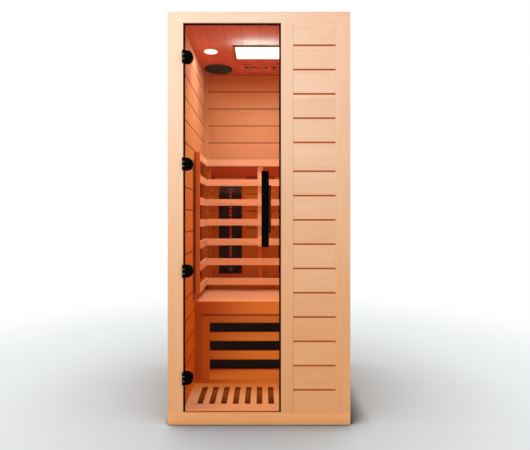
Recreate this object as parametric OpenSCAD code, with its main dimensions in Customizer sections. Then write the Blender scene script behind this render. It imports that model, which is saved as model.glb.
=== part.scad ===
// One-person infrared sauna cabin: panelled timber walls, hinged glass door, bench with
// slatted backrests, tube heaters behind mesh guards, slotted floor and roof fittings.
// Millimetres. Origin at the middle of the footprint on the floor, +X to the right,
// +Y to the back, +Z up. Depths called _d are measured back from the front face.

/* [Cabin] */
// Overall width
cabin_w = 880; // [860:10:1200]
// Overall depth
cabin_d = 900; // [900:10:1200]
// Height to the top of the roof panel
cabin_h = 1990; // [1900:10:2200]
// Thickness of the side and back walls
wall_t = 60; // [56:1:80]
// Thickness of the front wall
front_t = 46; // [40:1:60]
// Thickness of the roof panel
roof_t = 28; // [27:1:36]
// Thickness of the floor panel
floor_t = 30; // [26:1:40]

/* [Front wall] */
// Width of the stile that carries the door hinges
left_stile_w = 74; // [66:1:90]
// Width of the stile between the door and the boarded panel
mid_stile_w = 59; // [50:1:70]
// Width of the stile at the right corner
right_stile_w = 71; // [66:1:90]
// Width of the door opening
door_open_w = 472; // [440:2:480]
// Height of the rail above the door
header_h = 53; // [44:1:80]
// Height of the rail under the door
bottom_rail_h = 59; // [45:1:80]
// Length of the tenons on the stiles
tenon_l = 20; // [12:1:30]
// Thickness of the tenons
tenon_t = 14; // [10:1:16]

/* [Boards] */
// Thickness of the wall boards
board_t = 10; // [8:0.5:12]
// Spacing of the outer boards
outer_pitch = 117; // [100:1:130]
// Height of the one wide outer board
wide_board = 139; // [120:1:160]
// Number of full outer boards above the wide one
high_boards = 4; // [3:1:6]
// Visible groove between two outer boards
outer_gap = 8.5; // [3:0.5:10]
// Spacing of the inner boards
inner_pitch = 115.5; // [95:0.5:130]
// Visible groove between two inner boards
inner_gap = 4; // [2:0.5:6]
// Thickness of the ceiling boards
ceiling_board_t = 8; // [7:0.5:10]
// Spacing of the ceiling boards
ceiling_pitch = 93.5; // [80:0.5:120]
// Thickness of the tongues
tongue_t = 3; // [2:0.5:4]
// How far a tongue enters the next board
tongue_bite = 5; // [3:0.5:8]
// Width of the corner boards outside
corner_board_w = 60; // [40:1:90]
// Width of the timber studs inside the walls
stud_w = 40; // [30:1:50]
// Width of the trims in the inner back corners
corner_trim_w = 28; // [15:1:28]
// Thickness of the trims in the inner back corners
corner_trim_t = 8; // [5:1:9]

/* [Floor] */
// Thickness of the ply under the floor
base_t = 12; // [9:1:15]
// Width of the board behind the door sill
threshold_w = 89; // [60:1:100]
// Gap between the slotted floor board and the skirting
grate_gap = 8; // [6:1:20]
// Number of slots in the floor board
grate_slots = 11; // [7:1:11]
// Spacing of the slots
grate_pitch = 61.8; // [45:0.1:64]
// Width of a slot
grate_slot_w = 30.6; // [20:0.2:36]
// Timber left in front of the slots
grate_lip_front = 25; // [15:1:40]
// Timber left behind the slots
grate_lip_back = 39; // [15:1:50]
// Spacing of the floor boards under the bench
floor_pitch = 105; // [80:1:140]

/* [Door] */
// Thickness of the glass
glass_t = 8; // [6:1:10]
// Gap round the glass
door_gap = 4; // [3:0.5:6]
// Width of the seal strip
seal_w = 9; // [6:0.5:9]
// Thickness of the seal strip
seal_t = 2; // [1.5:0.1:3]
// Depth of the seal strip along the jamb
seal_depth = 18; // [10:1:24]
// Height of the magnet that holds the door shut
magnet_h = 60; // [30:1:80]

/* [Hinges] */
// Number of hinges
hinge_count = 4; // [2:1:4]
// Distance from the glass corner to the nearest hinge
hinge_inset = 161.5; // [100:0.5:220]
// Height of a hinge
hinge_h = 62; // [56:1:70]
// Reach of the clamp plates from the pin
hinge_reach = 46.5; // [42:0.5:60]
// Distance of the pin in front of the front face
pin_proud = 7; // [7:0.5:9]
// Distance of the pin from the jamb
pin_in = 2.5; // [2.5:0.1:3.5]
// Radius of the pin
pin_r = 3; // [2.5:0.1:3.5]
// Radius of the knuckles
knuckle_r = 6.5; // [5.5:0.1:6.5]
// Height of one knuckle
knuckle_h = 19; // [14:1:19]
// Thickness of a washer
washer_t = 2; // [1:0.1:2.5]
// Thickness of a gasket
gasket_t = 1; // [0.5:0.1:1]
// Thickness of the clamp plates
clamp_t = 6; // [5:0.5:6]
// Thickness of the leaf let into the jamb
leaf_t = 3; // [2:0.5:4]
// Depth of the leaf along the jamb
leaf_depth = 36; // [30:1:38]

/* [Handle] */
// Height of the outer bar
handle_h = 359; // [250:1:500]
// Width of the outer bar
handle_w = 35; // [25:1:45]
// Thickness of both bars
handle_t = 11; // [10:1:15]
// Middle of the handle above the floor
handle_z = 1039; // [900:1:1150]
// Distance of the outer bar from the free edge of the glass
handle_in = 55; // [50:1:90]
// Height of the inner bar
grip_h = 235; // [190:1:300]
// Spacing of the two fixings
handle_span = 180; // [120:1:180]
// Clear space between a bar and the glass
handle_reach = 34; // [28:1:45]

/* [Bench] */
// Height of the bench top
bench_z = 509; // [440:1:520]
// Distance of the bench from the front face
bench_d = 425; // [424:1:450]
// Thickness of the bench boards
bench_t = 20; // [16:1:26]
// Width of the rounded front board
nosing_w = 50; // [40:1:60]
// Height of the bench front
apron_h = 74; // [60:1:90]
// Number of boards behind the front board
bench_boards = 5; // [3:1:7]
// Gap between two bench boards
bench_gap = 4; // [2:0.5:8]
// Thickness of the kick panel
kick_t = 20; // [15:1:25]
// How far the kick panel stands behind the bench front
kick_in = 12; // [6:1:16]
// Width of the posts beside the kick panel
kick_post_w = 40; // [36:1:70]
// Width of the stiles of the kick panel
kick_stile_w = 45.5; // [25:0.5:50]
// Height of a slot over the calf heater
kick_slot_h = 58; // [40:1:60]
// Height of a slat over the calf heater
kick_slat_h = 51; // [30:1:52]
// Number of slats
kick_slats = 2; // [1:1:2]
// Height of the rail under the bench front
kick_top_h = 54; // [44:1:70]
// Height of the skirting at the floor
plinth_h = 18; // [10:1:40]
// Thickness of the skirting
plinth_t = 9; // [6:0.5:12]

/* [Backrests] */
// Height of the lowest rail
rest_z = 550; // [525:1:560]
// Height of a rail
rest_rail_h = 43; // [30:1:60]
// Spacing of the rails
rest_pitch = 130.5; // [100:0.5:135]
// Number of rails
rest_rails = 7; // [4:1:7]
// Distance of the back screen from the back wall
rest_back = 87; // [85:1:120]
// Thickness of the back rails
rest_t = 22; // [15:1:22]
// Distance of the side screens from the side walls
rest_side_in = 30; // [28:1:35]
// Thickness of the side rails
rest_side_t = 18; // [12:1:18]
// Depth of the posts of the side screens
rest_post_w = 22; // [18:1:30]
// Width of the batten in the middle of the back screen
rest_batten_w = 35; // [25:1:50]

/* [Heaters] */
// Width of a tube heater
heater_w = 158; // [120:1:160]
// Height of a tube heater
heater_h = 595; // [450:1:600]
// Height of the heaters above the floor
heater_z = 613; // [600:1:680]
// Distance of the back heaters from the side walls
heater_in = 177; // [165:1:185]
// Distance of the side heaters behind the bench front
heater_back = 135; // [130:1:195]
// Depth of the reflector tray in the wall
tray_t = 34; // [28:1:36]
// Radius of the heating tube
tube_r = 6.5; // [5:0.5:8]
// Width of the timber surround
surround_w = 26; // [15:1:26]
// Height of the surround above the guard
surround_head = 60; // [30:1:60]
// Thickness of the surround
surround_t = 10; // [6:1:10]
// Spacing of the bars of the guard
mesh_pitch = 24; // [18:1:40]
// Width of the bars of the guard
mesh_bar = 3; // [2:0.5:5]

/* [Ceiling] */
// Width of the light panel
panel_light_w = 294; // [200:2:300]
// Depth of the light panel
panel_light_h = 198; // [120:2:200]
// Distance of the middle of the light panel from the front face
panel_light_d = 432; // [425:1:470]
// Radius of a round light
downlight_r = 41.4; // [30:0.1:45]
// Width of the rim round its lens
downlight_rim = 3; // [2:0.5:6]
// Distance of the round lights from the side walls
downlight_in = 96; // [60:1:130]
// Distance of the round lights from the front face
downlight_d = 421; // [400:1:450]
// Radius of a loudspeaker
speaker_r = 93; // [70:1:95]
// Distance of the loudspeakers from the side walls
speaker_in = 106.4; // [100:0.1:120]
// Distance of the loudspeakers from the back wall
speaker_back = 113; // [110:1:130]
// Width of the vent cover
vent_w = 270; // [250:2:280]
// Depth of the vent cover
vent_l = 130; // [120:1:150]
// Distance of the vent from the back wall
vent_back = 150; // [105:1:150]
// Width of a vent slot
vent_slot_w = 24; // [16:0.5:24]
// Length of a vent slot
vent_slot_l = 90; // [60:1:100]
// Spacing of the vent slots
vent_pitch = 51; // [50:0.5:60]
// Thickness of the vent cover
vent_t = 8; // [7:0.5:12]
// Thickness of the sliding shutter
shutter_t = 3; // [2:0.1:3.5]
// How far the shutter reaches past its slots
shutter_lap = 3; // [2:0.5:4]
// Timber of the shutter beyond the ends of its slots
shutter_edge = 5; // [3:0.5:8]
// Radius of the knob of the shutter
knob_r = 9; // [6:0.5:10]
// Height of the knob
knob_h = 6; // [4:0.5:8]
// Drop of the knob under the vent cover
knob_drop = 8; // [7:0.5:12]

/* [Power] */
// Width of the control box on the roof
box_w = 260; // [180:2:320]
// Depth of the control box
box_l = 180; // [120:2:220]
// Height of the control box
box_h = 60; // [45:1:90]
// Distance of the control box from the front face
box_d = 290; // [250:1:330]
// Thickness of the sheet of the control box
box_sheet = 1.5; // [1:0.1:2]
// Depth of the lid of the control box
lid_lip = 10; // [6:1:20]
// Width of the mains inlet
inlet_w = 48; // [40:1:56]
// Height of the mains inlet
inlet_h = 26; // [22:1:32]
// Width of the flange of the mains inlet
inlet_flange = 7; // [5:0.5:8]
// Distance of the mains inlet from the side of the box
inlet_in = 50; // [40:1:70]
// Width of the control panel inside
keypad_w = 150; // [100:1:180]
// Height of the control panel inside
keypad_h = 96; // [60:1:120]
// Distance of the control panel from the side wall
keypad_in = 38.5; // [20:0.5:50]
// Height of the middle of the control panel above the floor
keypad_z = 1250; // [1100:1:1500]

/* [Hidden] */
$fn = 64;

// Clearance of a glued or butted joint, a fit that stays still, a running fit, and a
// loose gap
joint = 0.1;
fit = 0.2;
run = 0.05;
slack = 0.5;

front_y = -cabin_d / 2;
side_x = cabin_w / 2;
inner_x = side_x - wall_t;
inner_d = cabin_d - wall_t;
ceiling_z = cabin_h - roof_t;
header_z = cabin_h - header_h;
core_t = wall_t - 2 * board_t;
side_len = inner_d - front_t;
open_left = left_stile_w - side_x;
open_right = open_left + door_open_w;
panel_left = open_right + mid_stile_w;
panel_right = side_x - right_stile_w;

glass_left = open_left + door_gap;
glass_right = open_right - door_gap;
glass_low = bottom_rail_h + door_gap;
glass_high = header_z - door_gap;
hinge_x = open_left + pin_in;
hinge_step = (glass_high - glass_low - 2 * hinge_inset) / (hinge_count - 1);
plate_x = knuckle_r + 2 * fit;
clamp_screw_x = hinge_reach / 2;
clamp_screw_z = hinge_h / 2 - 14;
clamp_screw_r = 2.5;
leaf_h = hinge_h - 6;
leaf_screw_r = 2;
leaf_screw_l = 25;
leaf_screws = [[0.3, 0.34], [0.3, -0.34], [0.75, 0]];

handle_x = glass_right - handle_in - handle_w / 2;
grip_x = handle_x + 11.5;
bolt_x = (handle_x + grip_x) / 2;
bolt_r = 4;
standoff_r = 8;

kick_d = bench_d + kick_in;
kick_half = inner_x - kick_post_w;
kick_inner = kick_half - kick_stile_w;
grate_w = kick_d - plinth_t - grate_gap - front_t - threshold_w;
kick_open_top = bench_z - apron_h - kick_top_h;
kick_open_low = kick_open_top - (kick_slats + 1) * kick_slot_h - kick_slats * kick_slat_h;
rest_top = rest_z + (rest_rails - 1) * rest_pitch + rest_rail_h;
rest_d = inner_d - rest_back;
rest_side_x = inner_x - rest_side_in;
heater_x = inner_x - heater_in;
heater_side_d = bench_d + heater_back;
downlight_x = inner_x - downlight_in;
speaker_x = inner_x - speaker_in;
speaker_d = inner_d - speaker_back;
vent_d = inner_d - vent_back;
guard_t = 2;
sheet_t = 1;
roof_ply_t = 4;
roof_batten_w = 40;
vent_slots = [-1.75 * vent_pitch, -0.75 * vent_pitch, 0.75 * vent_pitch, 1.75 * vent_pitch];

PINE = "#e8bd8c";
PINE_DARK = "#c98a54";
PINE_CORE = "#d9a873";
PLY = "#d8b384";
BLACK = "#151515";
GRAPHITE = "#2b2b2d";
STEEL = "#b9bcc0";
RUBBER = "#1c1a1a";
FOAM = "#cfd3d6";
GLASS = [0.75, 0.42, 0.25, 0.35];
WHITE = "#f4f4f0";

// ---------------------------------------------------------------- placing

module at_d(d) {
    translate([0, front_y + d, 0]) children();
}

module both_sides() {
    children();
    mirror([1, 0, 0]) children();
}

// A wall is drawn with its length along X, its outer face at y = 0 and its room side at
// y = wall_t, then laid along the left, the right or the back of the cabin.
module on_left() {
    translate([-side_x, front_y + front_t, 0]) mirror([1, -1, 0]) children();
}

module on_right() {
    mirror([1, 0, 0]) on_left() children();
}

module on_back() {
    translate([-side_x, front_y + cabin_d, 0]) mirror([0, 1, 0]) children();
}

// A heater is drawn with its middle at x = 0, its foot at z = 0, the face of the wall at
// y = 0 and the wall behind it at y > 0.
module at_heaters() {
    for (x = [-heater_x, heater_x])
        translate([x, front_y + inner_d, heater_z]) children();
    translate([-inner_x, front_y + heater_side_d, heater_z]) rotate([0, 0, 90]) children();
    translate([inner_x, front_y + heater_side_d, heater_z]) rotate([0, 0, -90]) children();
}

// A hinge is drawn with its pin along Z at the origin and its middle at z = 0.
module at_hinges() {
    for (i = [0 : hinge_count - 1])
        translate([hinge_x, front_y - pin_proud, glass_low + hinge_inset + i * hinge_step])
            children();
}

module at_handle_bolts() {
    for (s = [-1, 1])
        translate([bolt_x, front_y, handle_z + s * handle_span / 2]) children();
}

// ---------------------------------------------------------------- shapes

// A box between two corners
module box(a, b) {
    translate(a) cube(b - a);
}

// An outline drawn in x and z, given depth from y0 to y1
module slab_y(y0, y1) {
    translate([0, y1, 0]) rotate([90, 0, 0]) linear_extrude(y1 - y0) children();
}

module rod_x(r, x0, x1) {
    translate([x0, 0, 0]) rotate([0, 90, 0]) cylinder(r = r, h = x1 - x0);
}

module rod_y(r, y0, y1) {
    translate([0, y0, 0]) rotate([-90, 0, 0]) cylinder(r = r, h = y1 - y0);
}

// A rectangle with round corners, centred
module round_rect(w, h, r) {
    square([w - 2 * r, h], center = true);
    square([w, h - 2 * r], center = true);
    for (x = [-1, 1], y = [-1, 1])
        translate([x * (w / 2 - r), y * (h / 2 - r)]) circle(r);
}

// ---------------------------------------------------------------- tongue and groove boards

// Heights of the board joints over a span, counted down from the top, with a cut board
// at the bottom that is at least a third of a board
function edges_from_top(low, high, pitch) =
    let (n = floor((high - low) / pitch - 0.35))
    concat([low], [for (i = [n : -1 : 0]) high - i * pitch]);

// Joints spread both ways from the middle of a span of half width half
function edges_from_middle(half, pitch) =
    let (n = floor(half / pitch - 0.35))
    concat([-half], [for (i = [-n : n]) i * pitch], [half]);

// Joints of the outer boards: equal boards, one wide board, and equal cut ends
function outer_edges() =
    let (span = header_z - bottom_rail_h,
         rows = floor((span - wide_board) / outer_pitch) - 1,
         end = (span - wide_board - rows * outer_pitch) / 2)
    concat([bottom_rail_h],
        [for (i = [0 : rows - high_boards]) bottom_rail_h + end + i * outer_pitch],
        [for (i = [high_boards : -1 : 0]) header_z - end - i * outer_pitch],
        [header_z]);

// One board's section: y across the thickness, z up, with a tongue above and a groove below
module board_section(low, high, thick, gap, grooved, tongued) {
    reach = gap + tongue_bite;
    difference() {
        union() {
            translate([0, low]) square([thick, high - low]);
            if (tongued)
                translate([(thick - tongue_t) / 2, high - 0.01])
                    square([tongue_t, reach + 0.01]);
        }
        if (grooved)
            translate([(thick - tongue_t) / 2 - fit, low - 1])
                square([tongue_t + 2 * fit, tongue_bite + slack + 1]);
    }
}

// A stack of boards: length along X, thickness along Y, joints at the heights in edges
module board_stack(edges, length, thick, gap) {
    last = len(edges) - 2;
    for (i = [0 : last])
        rotate([90, 0, 90]) linear_extrude(length)
            board_section(edges[i] + (i == 0 ? 0 : gap / 2),
                edges[i + 1] - (i == last ? 0 : gap / 2),
                thick, gap, i > 0, i < last);
}

// ---------------------------------------------------------------- floor

module base_board() {
    color(PLY) at_d(0) box([-inner_x, front_t, 0], [inner_x, inner_d, base_t]);
}

module floor_boards() {
    deck_d = front_t + threshold_w + grate_w;
    color(PINE) {
        at_d(0) box([-inner_x, front_t, base_t], [inner_x, front_t + threshold_w, floor_t]);
        // boards under the bench, laid flat
        translate([-inner_x, front_y + deck_d, floor_t]) rotate([-90, 0, 0])
            board_stack(edges_from_top(0, inner_d - deck_d, floor_pitch),
                2 * inner_x, floor_t - base_t, 1);
    }
}

module floor_grate() {
    low = front_t + threshold_w + slack;
    high = front_t + threshold_w + grate_w - slack;
    color(PINE) at_d(0) difference() {
        box([slack - inner_x, low, base_t], [inner_x - slack, high, floor_t]);
        for (i = [0 : grate_slots - 1])
            translate([(i - (grate_slots - 1) / 2) * grate_pitch, 0, 0])
                box([-grate_slot_w / 2, low + grate_lip_front, base_t - 1],
                    [grate_slot_w / 2, high - grate_lip_back, floor_t + 1]);
    }
}

// ---------------------------------------------------------------- walls

// Cross pieces and slabs are set by the foot and the head of the heaters.
nog_low = heater_z - surround_w - stud_w;
nog_high = heater_z + heater_h + surround_head;

side_stud = heater_side_d - front_t - heater_w / 2 - stud_w / 2 - 18;

module frame_of(length, end_w, end_t, mid) {
    y0 = board_t;
    y1 = board_t + core_t;
    for (x = [0, length - end_w])
        box([x, y0, 0], [x + end_w, y0 + end_t, ceiling_z]);
    box([mid - stud_w / 2, y0, stud_w + joint],
        [mid + stud_w / 2, y1, ceiling_z - stud_w - joint]);
    for (z = [0, ceiling_z - stud_w])
        box([end_w + joint, y0, z], [length - end_w - joint, y1, z + stud_w]);
    for (z = [nog_low, nog_high], side = [0, 1]) {
        x0 = side == 0 ? end_w : mid + stud_w / 2;
        x1 = side == 0 ? mid - stud_w / 2 : length - end_w;
        box([x0 + joint, y0, z], [x1 - joint, y1, z + stud_w]);
    }
}

module slabs_of(length, end_w, mid) {
    rows = [[stud_w, nog_low], [nog_low + stud_w, nog_high],
        [nog_high + stud_w, ceiling_z - stud_w]];
    for (row = rows, side = [0, 1]) {
        x0 = side == 0 ? end_w : mid + stud_w / 2;
        x1 = side == 0 ? mid - stud_w / 2 : length - end_w;
        box([x0, board_t, row[0]], [x1, board_t + core_t, row[1]]);
    }
}

// The room that one heater takes in the wall
module heater_void() {
    box([-heater_w / 2 - fit, -1, -fit], [heater_w / 2 + fit, tray_t + fit, heater_h + fit]);
}

module wall_frames() {
    color(PINE_CORE) {
        on_left() frame_of(side_len, stud_w, core_t, side_stud);
        on_right() frame_of(side_len, stud_w, core_t, side_stud);
        on_back() frame_of(cabin_w, wall_t, wall_t - board_t, side_x);
    }
}

module wall_insulation() {
    color(FOAM) difference() {
        union() {
            on_left() slabs_of(side_len, stud_w, side_stud);
            on_right() slabs_of(side_len, stud_w, side_stud);
            on_back() slabs_of(cabin_w, wall_t, side_x);
            at_d(0) box([panel_left, board_t, bottom_rail_h],
                [panel_right, front_t - board_t, header_z]);
        }
        at_heaters() heater_void();
    }
}

module outer_boards_of(length) {
    translate([corner_board_w, 0, 0])
        board_stack(outer_edges(), length - 2 * corner_board_w, board_t, outer_gap);
}

module left_outer_boards() {
    color(PINE) on_left() outer_boards_of(side_len);
}

module right_outer_boards() {
    color(PINE) on_right() outer_boards_of(side_len);
}

module back_outer_boards() {
    color(PINE) on_back() outer_boards_of(cabin_w);
}

module trims_of(length) {
    box([0, 0, 0], [length, board_t, bottom_rail_h]);
    box([0, 0, header_z], [length, board_t, ceiling_z]);
    for (x = [0, length - corner_board_w])
        box([x, 0, bottom_rail_h + joint],
            [x + corner_board_w, board_t, header_z - joint]);
}

module outer_trim_boards() {
    color(PINE) {
        on_left() trims_of(side_len);
        on_right() trims_of(side_len);
        on_back() trims_of(cabin_w);
    }
}

module inner_boards_of(start, length) {
    translate([start, wall_t - board_t, 0])
        board_stack(edges_from_top(floor_t, ceiling_z, inner_pitch), length, board_t,
            inner_gap);
    box([start, wall_t - board_t, 0], [start + length, wall_t, floor_t - joint]);
}

module left_inner_boards() {
    color(PINE) difference() {
        on_left() inner_boards_of(0, side_len);
        at_heaters() heater_void();
    }
}

module right_inner_boards() {
    color(PINE) difference() {
        on_right() inner_boards_of(0, side_len);
        at_heaters() heater_void();
    }
}

module back_inner_boards() {
    color(PINE) difference() {
        on_back() inner_boards_of(wall_t, 2 * inner_x);
        at_heaters() heater_void();
    }
}

module inner_corner_trims() {
    color(PINE) at_d(0) both_sides()
        box([inner_x - corner_trim_w, inner_d - corner_trim_t, bench_z],
            [inner_x, inner_d, ceiling_z]);
}

// ---------------------------------------------------------------- front wall

// A stile's tenon, or its mortise when grown by a clearance
module tenon(x0, x1, z0, z1, grow) {
    y0 = (front_t - tenon_t) / 2;
    box([x0 + 12 - grow, y0 - grow, z0 - grow],
        [x1 - 12 + grow, y0 + tenon_t + grow, z1 + grow]);
}

module all_tenons(grow) {
    at_d(0) for (span = [[-side_x, open_left], [open_right, panel_left],
            [panel_right, side_x]], z = [bottom_rail_h - tenon_l, header_z])
        tenon(span[0], span[1], z, z + tenon_l, grow);
}

module hinge_leaf_void() {
    x = -pin_in;
    box([x - leaf_t, pin_proud, -leaf_h / 2], [x + 1, pin_proud + leaf_depth, leaf_h / 2]);
    leaf_screw_places() rod_x(leaf_screw_r + run, -leaf_screw_l - 1, 0);
}

module front_stiles() {
    color(PINE) difference() {
        union() {
            at_d(0) {
                box([-side_x, 0, bottom_rail_h], [open_left, front_t, header_z]);
                box([open_right, 0, bottom_rail_h], [panel_left, front_t, header_z]);
                box([panel_right, 0, bottom_rail_h], [side_x, front_t, header_z]);
            }
            all_tenons(0);
        }
        at_hinges() hinge_leaf_void();
    }
}

module front_header() {
    color(PINE) difference() {
        at_d(0) box([-side_x, 0, header_z], [side_x, front_t, cabin_h]);
        all_tenons(fit);
    }
}

module front_bottom_rail() {
    color(PINE) difference() {
        at_d(0) box([-side_x, 0, 0], [side_x, front_t, bottom_rail_h]);
        all_tenons(fit);
    }
}

module front_outer_boards() {
    color(PINE) at_d(0) translate([panel_left, 0, 0])
        board_stack(outer_edges(), panel_right - panel_left, board_t, outer_gap);
}

module front_inner_boards() {
    color(PINE) at_d(front_t - board_t) translate([panel_left, 0, 0])
        board_stack(edges_from_top(bottom_rail_h, header_z, inner_pitch),
            panel_right - panel_left, board_t, inner_gap);
}

// ---------------------------------------------------------------- roof

// A window through the roof over all the vent slots
module vent_window(z0, z1) {
    half = vent_slots[3] + vent_slot_w / 2;
    at_d(vent_d) box([-half, -vent_slot_l / 2, z0], [half, vent_slot_l / 2, z1]);
}

module roof_frame() {
    batten_z = ceiling_z + ceiling_board_t;
    ply_z = cabin_h - roof_ply_t;
    color(PINE_CORE) at_d(0) {
        both_sides() box([inner_x, front_t, ceiling_z], [side_x, cabin_d, ply_z]);
        box([joint - inner_x, inner_d, ceiling_z], [inner_x - joint, cabin_d, ply_z]);
        for (d = [front_t, box_d - roof_batten_w / 2, panel_light_d + panel_light_h / 2])
            box([joint - inner_x, d, batten_z],
                [inner_x - joint, d + roof_batten_w, ply_z]);
    }
}

module ceiling_boards() {
    z1 = ceiling_z + ceiling_board_t + 1;
    color(PINE) difference() {
        // the stack is laid flat, with its faces down and its boards from front to back
        translate([0, front_y + front_t, ceiling_z]) rotate([90, 0, 90])
            board_stack(edges_from_middle(inner_x, ceiling_pitch), side_len,
                ceiling_board_t, inner_gap);
        at_d(downlight_d) both_sides() translate([downlight_x, 0, ceiling_z - 1])
            cylinder(r = downlight_can_r + fit, h = z1 - ceiling_z + 1);
        at_d(speaker_d) both_sides() translate([speaker_x, 0, ceiling_z - 1])
            cylinder(r = speaker_can_r + fit, h = z1 - ceiling_z + 1);
        vent_window(ceiling_z - 1, z1);
    }
}

module roof_top_board() {
    color(PLY) difference() {
        at_d(0) box([-side_x, front_t, cabin_h - roof_ply_t], [side_x, cabin_d, cabin_h]);
        vent_window(cabin_h - roof_ply_t - 1, cabin_h + 1);
    }
}

// ---------------------------------------------------------------- power

inlet_x = box_w / 2 - inlet_in;
well_w = inlet_w - 2 * inlet_flange;
well_h = inlet_h - inlet_flange + 1;

module control_box() {
    color(STEEL) at_d(box_d) difference() {
        box([-box_w / 2, -box_l / 2, cabin_h], [box_w / 2, box_l / 2, cabin_h + box_h]);
        box([box_sheet - box_w / 2, box_sheet - box_l / 2, cabin_h + box_sheet],
            [box_w / 2 - box_sheet, box_l / 2 - box_sheet, cabin_h + box_h + 1]);
        translate([inlet_x, 0, cabin_h + box_h / 2])
            slab_y(box_l / 2 - box_sheet - 1, box_l / 2 + 1)
                square([well_w + 2 * fit, well_h + 2 * fit], center = true);
    }
}

module control_box_lid() {
    z = cabin_h + box_h;
    color(STEEL) at_d(box_d) difference() {
        box([-box_w / 2 - box_sheet - fit, -box_l / 2 - box_sheet - fit, z - lid_lip],
            [box_w / 2 + box_sheet + fit, box_l / 2 + box_sheet + fit, z + box_sheet]);
        box([-box_w / 2 - fit, -box_l / 2 - fit, z - lid_lip - 1],
            [box_w / 2 + fit, box_l / 2 + fit, z]);
    }
}

// Appliance inlet with a flange, a well and three flat pins
module power_inlet() {
    well_t = 1.5;
    depth = 22;
    color(BLACK) at_d(box_d + box_l / 2) translate([inlet_x, 0, cabin_h + box_h / 2]) {
        difference() {
            union() {
                slab_y(0, 3) round_rect(inlet_w, inlet_h, 3);
                slab_y(-depth, 0.5) square([well_w, well_h], center = true);
            }
            slab_y(-depth + 3, 4)
                square([well_w - 2 * well_t, well_h - 2 * well_t], center = true);
        }
        for (pin = [[-7, -2.5], [0, 3], [7, -2.5]])
            translate([pin[0], 0, pin[1]])
                slab_y(-depth + 2.5, -4) square([2, 5], center = true);
    }
}

// Touch panel on the room side of the front wall, a closed housing with a glass face
module control_panel() {
    color(BLACK) at_d(front_t) translate([inner_x - keypad_in - keypad_w / 2, 0, keypad_z]) {
        slab_y(0, 9) round_rect(keypad_w, keypad_h, 8);
        slab_y(9 + joint, 11) round_rect(keypad_w - 8, keypad_h - 8, 5);
    }
}

// ---------------------------------------------------------------- bench

module bench_top_boards() {
    start = bench_d + nosing_w;
    pitch = (inner_d - start) / bench_boards;
    color(PINE) at_d(start) for (i = [0 : bench_boards - 1])
        box([slack - inner_x, i * pitch + bench_gap / 2, bench_z - bench_t],
            [inner_x - slack, (i + 1) * pitch - bench_gap / 2, bench_z]);
}

// Front board and bench front in one, with a rounded upper edge
module bench_nosing() {
    r = 5;
    color(PINE) translate([slack - inner_x, front_y + bench_d, 0])
        rotate([90, 0, 90]) linear_extrude(2 * (inner_x - slack)) {
            translate([r, bench_z - bench_t]) square([nosing_w - r, bench_t]);
            translate([0, bench_z - apron_h]) square([bench_t, apron_h - r]);
            translate([r, bench_z - r]) circle(r);
        }
}

module bench_supports() {
    cleat_h = 40;
    cleat_w = 25;
    z0 = bench_z - bench_t - cleat_h;
    z1 = bench_z - bench_t;
    d0 = bench_d + bench_t;
    color(PINE_CORE) at_d(0) {
        both_sides() box([inner_x - cleat_w, d0, z0], [inner_x, inner_d, z1]);
        box([cleat_w - inner_x + joint, inner_d - cleat_w, z0],
            [inner_x - cleat_w - joint, inner_d, z1]);
        box([-cleat_w / 2, d0, z0], [cleat_w / 2, inner_d - cleat_w - joint, z1]);
        both_sides() box([kick_half, kick_d, floor_t],
            [inner_x, kick_d + kick_t, bench_z - apron_h]);
    }
}

module kick_screw_places() {
    for (x = [-1, 1], z = [kick_open_top + kick_top_h * 0.6, kick_open_low - 24])
        translate([x * kick_inner * 0.775, front_y + kick_d, z]) children();
}

kick_screw_r = 2.5;

module kick_panel() {
    top = bench_z - apron_h;
    color(PINE_DARK) difference() {
        at_d(0) {
            both_sides() box([kick_inner, kick_d, floor_t],
                [kick_half, kick_d + kick_t, top]);
            for (rail = [[floor_t, kick_open_low], [kick_open_top, top]])
                box([joint - kick_inner, kick_d, rail[0]],
                    [kick_inner - joint, kick_d + kick_t, rail[1]]);
            for (i = [1 : kick_slats])
                translate([0, 0, kick_open_low + i * kick_slot_h + (i - 1) * kick_slat_h])
                    box([joint - kick_inner, kick_d + kick_t / 2, 0],
                        [kick_inner - joint, kick_d + kick_t, kick_slat_h]);
        }
        kick_screw_places() rod_y(kick_screw_r + run, -1, kick_t + 1);
    }
}

module kick_panel_screws() {
    color(STEEL) kick_screw_places() {
        rod_y(2 * kick_screw_r, -1.5, 0);
        rod_y(kick_screw_r, -0.5, kick_t + 8);
    }
}

module plinth() {
    color(PINE_DARK) at_d(kick_d)
        box([slack - inner_x, -plinth_t, floor_t], [inner_x - slack, 0, floor_t + plinth_h]);
}

// Carbon sheet behind the slats with its foil-faced backing
module calf_heater() {
    w = kick_inner + 12;
    low = kick_open_low - 8;
    high = kick_open_top + 8;
    color(BLACK) at_d(kick_d + kick_t) {
        box([-w, 0, low], [w, 4, high]);
        box([10 - w, 4 + joint, low + 10], [w - 10, 16, high - 10]);
    }
}

// ---------------------------------------------------------------- backrests

module rest_rails_at() {
    for (i = [0 : rest_rails - 1])
        translate([0, 0, rest_z + i * rest_pitch]) children();
}

module back_screen() {
    batten_t = 18;
    color(PINE) at_d(rest_d) {
        rest_rails_at() box([-rest_side_x, 0, 0], [rest_side_x, rest_t, rest_rail_h]);
        box([-rest_batten_w / 2, rest_t + joint, rest_z],
            [rest_batten_w / 2, rest_t + batten_t, rest_top]);
        both_sides() box([rest_side_x - rest_post_w, rest_t + joint, rest_z],
            [rest_side_x, rest_t + batten_t, rest_top]);
    }
}

module side_screens() {
    back_post_d = inner_d - corner_trim_t - slack - rest_post_w;
    color(PINE) at_d(0) both_sides() {
        for (d = [bench_d, back_post_d])
            box([rest_side_x, d, rest_z], [inner_x, d + rest_post_w, rest_top]);
        rest_rails_at() box([rest_side_x, bench_d + rest_post_w + joint, 0],
            [rest_side_x + rest_side_t, back_post_d - joint, rest_rail_h]);
    }
}

// ---------------------------------------------------------------- heaters

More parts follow.
